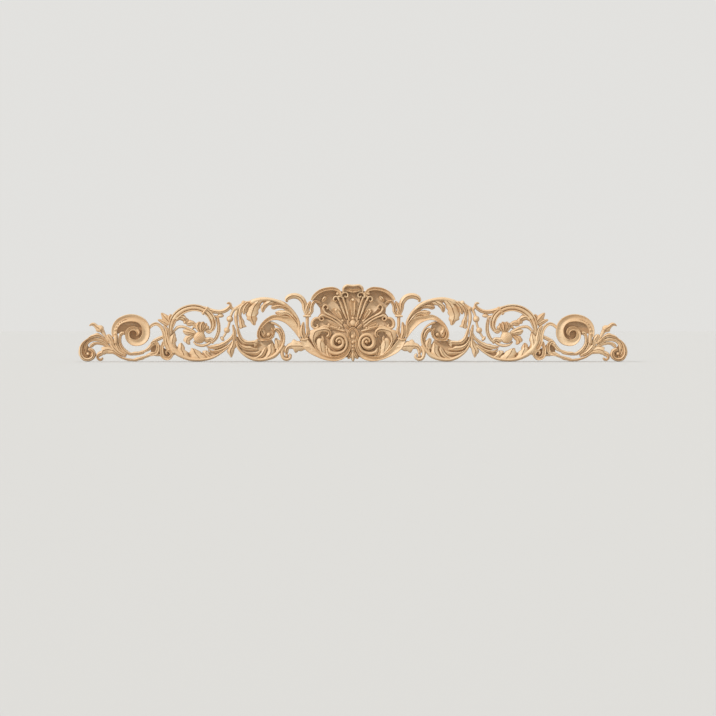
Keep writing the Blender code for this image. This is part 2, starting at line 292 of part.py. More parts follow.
     (446.2, 54), (445.4, 58.4), (442.8, 61), (439.6, 61.6), (436.4, 61), (433.6, 58.8), (432, 55.6),
     (432, 52.4), (433.6, 49.6)], [15, 15, 16, 17, 17, 18, 18, 18, 18, 18, 18, 18, 18, 18, 18, 18, 18,
     18, 18.5, 19, 19, 19.5, 20, 20, 20, 20, 20, 19]),
    ("cradle leaf", LEAF, 12, [(456, 52.4), (459.2, 52.8), (462, 50), (463, 44), (462.4, 36.8),
     (458.8, 29.6), (452, 22.8), (443.2, 17.6), (436.8, 19.6), (429.2, 19.6), (422.8, 21.6), (416, 23.6),
     (409.2, 30), (403.2, 37.6), (394, 42)], [(456.8, 59.2), (462.8, 59.2), (467.2, 54.4), (468.8, 45.2),
     (468.4, 36), (464.8, 27.2), (459.2, 19.2), (450, 12.8), (438.8, 11.2), (428.8, 12.4), (420.4, 14),
     (414.8, 18.2), (406.8, 21.2), (400, 28.8), (390.8, 34.8)],
     [17, 17, 17, 17, 17, 17, 17, 17, 17, 17, 16, 16, 16, 16, 15]),
    ("under leaf", LEAF, 12, [(494, 21), (486, 20.8), (478, 20), (469.2, 13.6), (460, 9.2), (451, 6.8),
     (440, 5.2), (430, 8.4), (420, 10.8), (410, 15.2), (402.8, 20), (397.2, 20)], [(496, 14.8),
     (486, 14.8), (477, 13.6), (466, 6.8), (454, 2), (441, -0.4), (428, 0.8), (416, 4.8), (404, 10.4),
     (398, 10.8), (394, 10.4), (390, 10.4)], [15, 15, 16, 16, 16, 16, 16, 16, 16, 15, 15, 14]),
    ("centre leaf", LEAF, 12, [(62, 8), (74, 22), (79, 32.8), (82.4, 39.2), (86.6, 45.2), (89.4, 53.2),
     (87.2, 60.4), (79.2, 64.8), (68, 68.4), (58, 70), (50, 67.6), (44.2, 61.2), (43.2, 54),
     (46.4, 47.6), (51.6, 46.4)], [(54, 14), (68, 26.8), (74, 36), (75.6, 41.2), (72.4, 47.6),
     (66.2, 51.6), (63.6, 56), (60, 57.8), (56.8, 57.6), (54.4, 57.2), (52.2, 57.2), (50.2, 56.8),
     (50, 54), (52, 52), (54, 50)], [16, 17, 18, 19, 19, 19, 19, 19, 19, 20, 21, 21, 21, 21, 20]),
    ("centre lobe", LEAF, 11, [(62, 7), (70, 20), (74.4, 30.8), (75.2, 39.2), (72.4, 46), (67.6, 50)],
     [(46, 7), (52.4, 16), (52.8, 22.8), (54, 28.8), (55.2, 33.6), (59.2, 40.8)],
     [14, 16, 17, 17, 17, 15]),
    ("husk leaf", LEAF, 11, [(238.8, 48.8), (242, 40), (246.8, 30.8), (251.6, 24.4), (252, 19.2),
     (248.8, 14), (244, 7.4)], [(236, 48.4), (234.4, 40), (233.2, 30), (235.2, 24), (237.2, 20.8),
     (238.4, 15.2), (242.4, 7.4)], [16, 17, 18, 18, 18, 17, 15]),
]

# name, place, radius, height of the top and of the edge, squash, turn in degrees
DOMES = [
    ("arch eye", (30.4, 135.2), 4, 22, 8, 1.0, 0),
    ("dart tip", (0, 122.4), 4.2, 19, 12, 1.0, 0),
    ("shell base", (0, 76.4), 6.4, 16, 12, 1.0, 0),
    ("bead", (0, 49.2), 4.6, 22, 14, 1.0, 0),
    ("bead", (0, 38), 3.6, 22, 14, 1.0, 0),
    ("bead", (0, 29.8), 3, 22, 14, 1.0, 0),
    ("bead", (0, 23.2), 2.5, 22, 14, 1.0, 0),
    ("berry", (218.4, 117), 4.6, 18, 10, 1.0, 0),
    ("berry", (233.6, 105.4), 4.2, 18, 10, 1.0, 0),
    ("berry", (246.2, 84.4), 6.6, 20, 10, 1.0, 0),
    ("berry", (252, 62), 6, 19, 10, 1.0, 0),
    ("drop", (261.2, 45.2), 5.4, 16, 10, 0.6, 52),
    ("bud", (264.8, 91.2), 6.6, 16, 10, 0.62, 0),
    ("flower low", (306.8, 47.4), 12, 21, 11, 1.0, 0),
    ("eye 3", (168.4, 53.2), 4.4, 20, 8, 1.0, 0),
    ("foot eye", (132.4, 11.2), 3.8, 21, 8, 1.0, 0),
    ("end eye", (529.2, 14.8), 3.8, 20, 8, 1.0, 0),
    ("end bud", (502.8, 64.8), 4, 20, 13, 1.0, 0),
    ("flower top", (302.2, 69.2), 9.6, 16, 11, 1.0, 0),
    ("ray head", (16.2, 133), 5.4, 19, 12, 1.0, 0),
    ("ray head", (34.2, 123.6), 4.8, 19, 12, 1.0, 0),
    ("ray head", (54.4, 108), 4.8, 19, 12, 1.0, 0),
    ("ray head", (62.2, 84.8), 4.6, 19, 12, 1.0, 0),
    ("band eye", (291.2, 67.4), 4, 19, 12, 1.0, 0),
]


for old in list(bpy.data.objects):
    bpy.data.objects.remove(old, do_unlink=True)

carving = bpy.data.collections.new("carved_applique_parts")
bpy.context.scene.collection.children.link(carving)
raw = bpy.data.collections.new("carving_strokes")
bpy.context.scene.collection.children.link(raw)


def wood(name, colour, roughness):
    """Principled material for bare wood."""
    mat = bpy.data.materials.new(name)
    mat.use_nodes = True
    shader = mat.node_tree.nodes["Principled BSDF"]
    shader.inputs["Base Color"].default_value = colour
    shader.inputs["Roughness"].default_value = roughness
    return mat


def place(out, up, height):
    """A point of the carving: out and up on the board, height above its back, in mm."""
    return Vector((out * MM, -height * MM, (up - HEIGHT / 2) * MM))


def smooth(knots, count):
    """Catmull-Rom curve through the knots."""
    k = np.asarray(knots, float)
    if k.ndim == 1:
        k = k[:, None]
    ends = np.vstack([2 * k[0] - k[1], k, 2 * k[-1] - k[-2]])
    t = np.linspace(0, len(k) - 1, count)
    i = np.clip(t.astype(int), 0, len(k) - 2)
    f = (t - i)[:, None]
    a, b, c, d = ends[i], ends[i + 1], ends[i + 2], ends[i + 3]
    return 0.5 * (2 * b + (c - a) * f + (2 * a - 5 * b + 4 * c - d) * f**2 + (3 * b - a - 3 * c + d) * f**3)


def centre_line(knots):
    """Fine points along a line, with its heading, curvature, measure and share of length at each.

    The measure grows by one for each facet that is wanted, so it runs faster where the line bends.
    """
    fine = smooth(knots, FINE_STEPS * len(knots))
    legs = np.diff(fine, axis=0)
    size = np.linalg.norm(legs, axis=1)
    heading = np.unwrap(np.arctan2(legs[:, 1], legs[:, 0]))
    bend = np.diff(heading, append=heading[-1])
    padded = np.pad(bend / size, CURVE_WINDOW // 2, "edge")
    curve = np.convolve(padded, np.ones(CURVE_WINDOW) / CURVE_WINDOW, "valid")
    measure = np.r_[0, np.cumsum(size / RUN_STEP + np.abs(bend) / BEND_STEP)]
    share = np.r_[0, np.cumsum(size)] / size.sum()
    return fine, np.r_[heading, heading[-1]], np.r_[curve, curve[-1]], measure, share


def ticks_of(measure):
    """The values of the measure at which a stroke gets a row of points."""
    return np.linspace(0, measure[-1], max(3, math.ceil(measure[-1]) + 1))


def read_at(ticks, measure, line):
    """The points of a fine line at the given values of its measure."""
    return np.stack([np.interp(ticks, measure, line[:, i]) for i in (0, 1)], 1)


def along(values, share):
    """Values given evenly along a stroke, read at the shares of its length."""
    fine = smooth(values, 200)[:, 0]
    return np.interp(share, np.linspace(0, 1, 200), fine)


def solid(name, sheet):
    """Extrudes a front sheet straight back into a closed solid."""
    pushed = bmesh.ops.extrude_face_region(sheet, geom=sheet.faces[:])
    for item in pushed["geom"]:
        if isinstance(item, bmesh.types.BMVert):
            item.co.y = BACK_OVERRUN * MM
    bmesh.ops.recalc_face_normals(sheet, faces=sheet.faces[:])
    mesh = bpy.data.meshes.new(name)
    sheet.to_mesh(mesh)
    sheet.free()
    piece = bpy.data.objects.new(name, mesh)
    raw.objects.link(piece)
    return piece


def stroke(name, section, edge, spine, halves, crests):
    """A band or leaf swept along its spine, with its width and crest changing on the way."""
    line, headings, bends, measure, shares = centre_line(spine)
    ticks = ticks_of(measure)
    points = read_at(ticks, measure, line)
    turn, curve, share = [np.interp(ticks, measure, values) for values in (headings, bends, shares)]
    half = np.maximum(along(halves, share), THINNEST)
    crest = along(crests, share)
    across = section["many" if max(halves) >= BROAD and len(points) > 3 else "few"]
    rows, columns = len(points), len(across)
    sheet = bmesh.new()
    bmesh.ops.create_grid(sheet, x_segments=rows - 1, y_segments=columns - 1, size=1)
    for vert in sheet.verts:
        i = round((vert.co.x + 1) / 2 * (rows - 1))
        side, rise = across[round((vert.co.y + 1) / 2 * (columns - 1))]
        inside = curve[i] * side > 0
        reach = side * (min(half[i], INNER_SHARE / abs(curve[i])) if inside else half[i])
        out = points[i][0] - math.sin(turn[i]) * reach
        up = points[i][1] + math.cos(turn[i]) * reach
        vert.co = place(out, up, edge + (crest[i] - edge) * rise)
    return solid(name, sheet)


def leaf(name, section, edge, left, right, crests):
    """A leaf or band laid between its two edges, whose knots lie opposite each other."""
    sides = [centre_line(knots) for knots in (left, right)]
    measure = (sides[0][3] + sides[1][3]) / 2
    ticks = ticks_of(measure)
    first, last = [read_at(ticks, measure, side[0]) for side in sides]
    crest = np.interp(ticks, measure, smooth(crests, len(measure))[:, 0])
    middle, reach = (first + last) / 2, (last - first) / 2
    width = np.linalg.norm(reach, axis=1)
    reach = reach * (np.maximum(width, THINNEST) / np.maximum(width, 0.01))[:, None]
    across = section["many" if width.max() >= BROAD else "few"]
    rows, columns = len(ticks), len(across)
    sheet = bmesh.new()
    bmesh.ops.create_grid(sheet, x_segments=rows - 1, y_segments=columns - 1, size=1)
    for vert in sheet.verts:
        i = round((vert.co.x + 1) / 2 * (rows - 1))
        side, rise = across[round((vert.co.y + 1) / 2 * (columns - 1))]
        out, up = middle[i] + reach[i] * side
        vert.co = place(out, up, edge + (crest[i] - edge) * rise)
    return solid(name, sheet)


def berry(name, at, radius, top, edge, squash, turn):
    """A domed berry on straight walls, longer one way where it is squashed."""
    big = radius >= BIG_BERRY
    shape = bmesh.new()
    bmesh.ops.create_uvsphere(shape, u_segments=BERRY_SIDES if big else BEAD_SIDES, v_segments=4,
                              radius=1)
    tilt = math.radians(turn)
    for vert in shape.verts:
        x, y, rise = vert.co
        if rise < -0.01:
            rim = 1 / max(math.hypot(x, y), 0.01) if rise > -0.9 else 0
            x, y = x * rim, y * rim
        out = radius * (x * math.cos(tilt) - y * squash * math.sin(tilt))
        up = radius * (x * math.sin(tilt) + y * squash * math.cos(tilt))
        height = edge + (top - edge) * rise if rise >= -0.01 else -BACK_OVERRUN
        vert.co = place(at[0] + out, at[1] + up, height)
    bmesh.ops.remove_doubles(shape, verts=shape.verts[:], dist=1e-6)
    bmesh.ops.recalc_face_normals(shape, faces=shape.faces[:])
    mesh = bpy.data.meshes.new(name)
    shape.to_mesh(mesh)
    shape.free()
    piece = bpy.data.objects.new(name, mesh)
    raw.objects.link(piece)
    return piece


def ground(name, height, outline):
    """A sunk flat ground behind the carving."""
    sheet = bmesh.new()
    sheet.faces.new([sheet.verts.new(place(out, up, height)) for out, up in outline])
    return solid(name, sheet)


def apply_modifiers(piece):
    """Bakes the modifiers of a piece into its mesh."""
    bpy.ops.object.select_all(action="DESELECT")
    bpy.context.view_layer.objects.active = piece
    piece.select_set(True)
    for modifier in list(piece.modifiers):
        bpy.ops.object.modifier_apply(modifier=modifier.name)


def combine(base, other, operation):
    """Boolean of two closed solids; the other one is used up.

    The exact solver leaves open slivers where several strokes cross, so this is MANIFOLD.
    """
    step = base.modifiers.new(operation.lower(), "BOOLEAN")
    step.operation = operation
    step.object = other
    step.solver = "MANIFOLD"
    apply_modifiers(base)
    bpy.data.objects.remove(other, do_unlink=True)


def mirrored(piece):
    """A copy of a piece on the other side of the middle line."""
    twin = piece.copy()
    twin.data = piece.data.copy()
    twin.data.transform(Matrix.Scale(-1, 4, (1, 0, 0)))
    twin.data.flip_normals()
    raw.objects.link(twin)
    return twin


def on_middle(knots):
    """True for a piece drawn on the middle line itself."""
    return all(out == 0 for out, up in knots)


def cut_back(piece):
    """Cuts a piece flat at the back."""
    bpy.ops.mesh.primitive_cube_add(size=1)
    back = bpy.context.object
    back.scale = (2 * LENGTH * MM, 2 * BACK_OVERRUN * MM, 2 * HEIGHT * MM)
    back.location = (0, BACK_OVERRUN * MM, 0)
    combine(piece, back, "DIFFERENCE")


def mend(piece):
    """Turns one pair of triangles at each edge that four share, so that every edge has two."""
    mesh = bmesh.new()
    mesh.from_mesh(piece.data)
    bmesh.ops.triangulate(mesh, faces=mesh.faces[:])
    for edge in [e for e in mesh.edges if len(e.link_faces) == 4]:
        a, b = edge.verts
        if len(edge.link_faces) != 4:
            continue
        ahead = [loop for loop in edge.link_loops if loop.vert == a]
        behind = [loop for loop in edge.link_loops if loop.vert == b]
        pairs = [(p.face.normal.dot(q.face.normal), p, q) for p in ahead for q in behind]
        flattest = max(pairs, key=lambda pair: pair[0])
        c, d = [loop.link_loop_prev.vert for loop in flattest[1:]]
        bmesh.ops.delete(mesh, geom=[loop.face for loop in flattest[1:]], context="FACES_ONLY")
        mesh.faces.new((c, a, d))
        mesh.faces.new((d, b, c))
    mesh.to_mesh(piece.data)
    mesh.free()


def keep_largest(piece):
    """Keeps the largest closed body of a mesh, without the small voids that unions leave."""
    mesh = bmesh.new()
    mesh.from_mesh(piece.data)
    left = set(mesh.verts)
    bodies = []
    while left:
        first = left.pop()
        body, reach = {first}, [first]
        while reach:
            for edge in reach.pop().link_edges:
                for vert in edge.verts:
                    if vert in left:
                        left.remove(vert)
                        body.add(vert)
                        reach.append(vert)
        bodies.append(body)
    bodies.sort(key=len)
    bmesh.ops.delete(mesh, geom=[v for body in bodies[:-1] for v in body], context="VERTS")
    mesh.to_mesh(piece.data)
    mesh.free()


side, middle = [], []
for name, height, outline in GROUNDS:
    side.append(ground(name, height, outline))
for name, section, edge, spine, halves, crests in STROKES:
    (middle if on_middle(spine) else side).append(stroke(name, section, edge, spine, halves, crests))
for name, section, edge, left, right, crests in LEAVES:
    side.append(leaf(name, section, edge, left, right, crests))
for name, at, radius, top, edge, squash, turn in DOMES:
    (middle if on_middle([at]) else side).append(berry(name, at, radius, top, edge, squash, turn))

applique = side[0]
for piece in side[1:]:
    combine(applique, piece, "UNION")
cut_back(applique)
keep_largest(applique)
fewer = applique.modifiers.new("fewer facets", "DECIMATE")
fewer.ratio = FACET_SHARE
apply_modifiers(applique)
mend(applique)
combine(applique, mirrored(applique), "UNION")
for piece in middle:
    cut_back(piece)
    combine(applique, piece, "UNION")
keep_largest(applique)
mend(applique)

applique.name = "carved_applique"
applique.data.name = "carved_applique"
raw.objects.unlink(applique)
carving.objects.link(applique)
bpy.data.collections.remove(raw)
applique.data.materials.append(wood("beech", (0.55, 0.36, 0.20, 1.0), 0.55))
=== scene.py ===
"""Carved wooden applique: the looks of the carving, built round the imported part.

The same strokes and leaves as the solid, carved finely: leaves with cut veins and toothed edges,
gouged scrolls with two rims, moulded bands, berries and sunk grounds. All of it is one board, so
it is one piece.
Measures of the carving are in mm: out = from the middle line, up = above the lowest scroll,
height = above the flat back. Frame: +X along the board, carved face to -Y, +Z up, metres.
"""
import math
import bpy
import numpy as np
from mathutils import Matrix, Vector


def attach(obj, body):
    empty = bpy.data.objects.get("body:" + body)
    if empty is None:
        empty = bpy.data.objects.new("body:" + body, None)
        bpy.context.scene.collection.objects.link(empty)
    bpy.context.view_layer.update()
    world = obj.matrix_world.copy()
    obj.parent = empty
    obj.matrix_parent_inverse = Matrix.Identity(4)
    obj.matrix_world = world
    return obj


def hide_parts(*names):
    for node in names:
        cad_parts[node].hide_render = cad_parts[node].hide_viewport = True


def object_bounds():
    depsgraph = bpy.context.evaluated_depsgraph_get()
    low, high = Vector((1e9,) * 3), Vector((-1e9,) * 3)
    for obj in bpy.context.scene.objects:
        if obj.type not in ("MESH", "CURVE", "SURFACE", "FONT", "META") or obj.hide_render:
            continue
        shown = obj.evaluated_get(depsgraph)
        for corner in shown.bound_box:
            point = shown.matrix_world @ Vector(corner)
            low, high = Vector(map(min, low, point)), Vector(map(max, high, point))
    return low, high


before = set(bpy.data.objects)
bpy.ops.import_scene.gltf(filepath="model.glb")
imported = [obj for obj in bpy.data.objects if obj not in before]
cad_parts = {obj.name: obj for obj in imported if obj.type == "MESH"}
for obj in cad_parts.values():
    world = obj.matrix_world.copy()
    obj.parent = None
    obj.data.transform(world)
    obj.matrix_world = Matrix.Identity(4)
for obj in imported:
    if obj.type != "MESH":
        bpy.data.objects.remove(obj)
cad_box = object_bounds()

# relief, in mm
MM = 0.001
HEIGHT = 153.0             # lowest scroll to the crest
BACK_OVERRUN = 6.0         # strokes run this far behind the back before it is cut flat
CUTTER = (3.0, 1.0)        # length and height of the block that cuts the back flat, metres
RUN_STEP = 4.0             # longest facet along a stroke
BEND_STEP = math.radians(9)   # most a stroke turns from facet to facet
FINE_STEPS = 30            # points for each knot when a spine or an edge is measured
FINE_VALUES = 200          # points when widths or heights are read along a stroke
CURVE_WINDOW = 13          # points over which the curvature is averaged
THINNEST = 0.3             # least half width, at a leaf's tip
FEWEST_TICKS = 4           # least number of even steps along a stroke
NOSE_STEPS = 4             # facets over a rounded tip
NOSE_GAP = 0.3             # least step of the measure before the rounded tip
NOSE_END = 0.02            # square of the share of width and height left at the very tip
INNER_SHARE = 0.9          # most of a bend's radius that its inner half takes
VEIN = 0.95                # half width of the cut vein in a leaf
VEIN_SHARE = 0.36          # most of a leaf's half width that the vein takes
VEIN_DEPTH = 0.55          # most of a leaf's height that the vein is cut down
RIM = 0.9                  # width of the rim along a gouged stroke
RIM_SHARE = 0.4            # most of a gouged stroke's half width that the rim takes
GOUGE_DEPTH = 0.62         # most of a gouged stroke's height that the channel is cut down
CUT_SLOPE = 0.16           # share of the height that both are cut down, per mm of half width
BERRY_SIDES = 20
BERRY_RINGS = 12
SMALL = 0.01               # keeps a divisor off zero, and tells a ball's rim from its underside
WELD = 1e-6                # metres; vertices closer than this are merged
SEEDS_AT = (307.0, 47.4)   # middle of the seed head in the lower flower
SEED_ROWS = 2              # rows of seeds on each side of its middle
SEED_GAP = 2.0             # half the diagonal step between seeds
SEED_RADIUS = 1.7
SEED_EDGE = 12             # height at which a seed starts
SEED_TOP = 22.6            # height of the middle seed's top
SEED_FALL = 0.055          # how much lower a seed's top is, per square mm from the middle
TOOTH_LENGTH = 13.0        # a tooth along a leaf's edge
TOOTH_DEPTH = 0.24         # share of the half width that is cut back between two teeth
NARROW_LEAF = 3.0          # half width up to which a leaf has a plain edge
PLAIN_SHARE = 0.55         # share of the half width that the teeth don't reach
SOFT_EDGE = math.radians(33)  # facets meeting flatter than this are shaded as one surface

# light, floor and camera
KEY = 2.7                  # strength of the key light
FILL = 0.10 * KEY          # strength of the light from the front right
REAR = 0.22 * KEY          # strength of the light from behind
KEY_SPREAD = math.radians(9)
SOFT_SPREAD = math.radians(40)
LIGHT_DISTANCE = 3.0       # metres; only a place for the lights, which shine from far off
SURROUND = 0.86            # strength of the pale surroundings
FLOOR_WARMTH = (0.887, 0.879, 0.855)  # the surroundings' own tint, linear
FLOOR_SIZE = 60.0          # metres
FLOOR_GAP = 0.0005         # metres from the lowest scrolls down to the floor
DRAWING_SIDE = 716         # pixels of the drawing's width
PIXEL = 2.0                # mm of the carving to a pixel of the drawing
ASIDE, ABOVE = 5.0, 35.0   # pixels from the picture's middle to the carving's, left and up
LENS, SENSOR = 200.0, 36.0  # mm


def rounded(half):
    """A full round, from edge to edge."""
    v = np.sin(np.linspace(-1, 1, 9) * math.pi / 2)
    return v, np.sqrt(1 - v**2)


def ridged(half):
    """Two sloping sides that meet in a ridge."""
    v = np.array([-1, -0.6, -0.25, 0, 0.25, 0.6, 1])
    return v, (1 - np.abs(v)) ** 0.8


def leafy(half):
    """Two swelling halves on each side of a cut vein."""
    vein = min(VEIN / half, VEIN_SHARE)
    side = np.array([vein, 0.5 + vein / 3, 0.76, 0.93, 1])
    v = np.r_[-side[::-1], 0, side]
    rise = np.clip(1 - np.abs(v) ** 2.6, 0, 1) ** 0.7
    rise[len(v) // 2] = 1 - min(VEIN_DEPTH, CUT_SLOPE * half)
    return v, rise


def gouged(half):
    """A gouged channel between two rims."""
    rim = min(RIM / half, RIM_SHARE)
    side = np.array([0.3, 0.6, 1]) * (1 - rim)
    v = np.r_[-1, -side[::-1], 0, side, 1]
    deep = 1 - min(GOUGE_DEPTH, CUT_SLOPE * half)
    rise = deep + (1 - deep) * np.clip(np.abs(v) / (1 - rim), 0, 1) ** 2
    rise[[0, -1]] = 0.72
    return v, rise


def moulded(half):
    """A moulded band: a fillet on each side, a quirk, and a round between them."""
    side = np.array([0.3, 0.46, 0.56, 0.66, 0.94, 1])
    rise = np.array([0.9, 0.66, 0.3, 1.0, 1.0, 0.6])
    return np.r_[-side[::-1], 0, side], np.r_[rise[::-1], 1, rise]


def scooped(half):
    """A plain gouge cut, deepest in the middle."""
    v = np.linspace(-1, 1, 7)
    return v, 0.2 + 0.8 * np.abs(v) ** 1.7


def flat(half):
    """A flat fillet."""
    v = np.array([-1, -0.86, 0.86, 1])
    return v, np.array([0.0, 1, 1, 0.0])


# name, height, outline
GROUNDS = [
    ("shell ground", 9, [(80, 123), (74, 136), (56, 143), (36, 143), (24, 140), (16, 140), (-2, 140),
     (-2, 56), (14, 54), (26, 52), (44, 46), (56, 52), (70, 60), (79, 67), (80, 80), (72, 87), (65, 96),
     (66, 106), (74, 116)]),
    ("crest ground", 15, [(18.8, 140), (19.2, 145.6), (14, 151.2), (8, 150.8), (-2, 149.6), (-2, 137.2),
     (5.2, 138)]),
    ("leaf ground", 9, [(88, 56), (78, 62), (56, 64), (44, 56), (44, 32), (48, 8), (70, 12)]),
    ("scroll 3 ground", 10, [(233, 50), (224, 45), (210, 39), (194, 38), (186, 42), (174, 40), (162, 43),
     (156, 32), (146, 26), (154, 10), (174, 2), (202, 6), (220, 18), (232, 30)]),
    ("scroll 2 ground", 10, [(362, 42), (352, 30), (340, 21), (326, 16.8), (306, 16.8), (286, 19),
     (262, 28), (248, 36), (262, 20), (282, 8), (306, 2), (330, 5), (350, 16), (362, 30)]),
    ("volute ground", 10, [(46, 50), (32, 56), (18, 58.8), (10, 61.2), (-2, 62), (-2, 10), (12, 8),
     (30, 6), (50, 8), (54, 28)]),
    ("spiral ground", 8, [(476, 55.2), (472, 72), (444, 86), (422, 82), (410, 64), (412, 46), (424, 34),
     (440, 34), (449.2, 40.8), (452, 49.2), (454, 55.2)]),
    ("end ground", 9, [(542, 34), (536, 40), (528, 28.8), (518, 23.2), (515.2, 18), (516.8, 10),
     (523.2, 4), (532, 2), (540, 4.8), (544.8, 12.8), (545.2, 24)]),
    ("leaf root ground", 10, [(106.4, 40.8), (103.2, 50.4), (86.8, 50), (76.8, 34), (66.8, 22), (60, 8),
     (78, 18), (94, 30)]),
    ("band root ground", 11, [(371.2, 48), (364.8, 60), (357.6, 62.8), (354, 52), (360, 40),
     (367.2, 38)]),
    ("lobe ground", 13, [(182, 122.8), (166, 124), (146, 118), (130, 108.8), (116.8, 96), (108, 78),
     (105.2, 58), (111.2, 68), (118.8, 86), (130, 98.8), (144, 106.4), (155.2, 110), (168.4, 112.4),
     (178, 112.8)]),
    ("stem root ground", 12, [(154, 91.2), (144, 96.4), (128, 94.8), (114, 82), (108, 62), (122, 77.2),
     (138, 85.2)]),
    ("side lobe ground", 12, [(222.4, 112.8), (214, 118.8), (198, 122), (180, 122), (184.8, 112),
     (194, 104), (206, 103.2), (212.8, 97.2), (220, 96.4), (224.8, 100.8)]),
    ("C ground", 8, [(404, 36), (392, 40), (384, 30), (370, 22), (364, 10), (378, 6), (390, 14),
     (404, 14)]),
    ("eye ground", 10, [(182, 72), (170, 80), (158, 74), (154, 62), (158, 48), (170, 40), (184, 44),
     (188, 58)]),
]

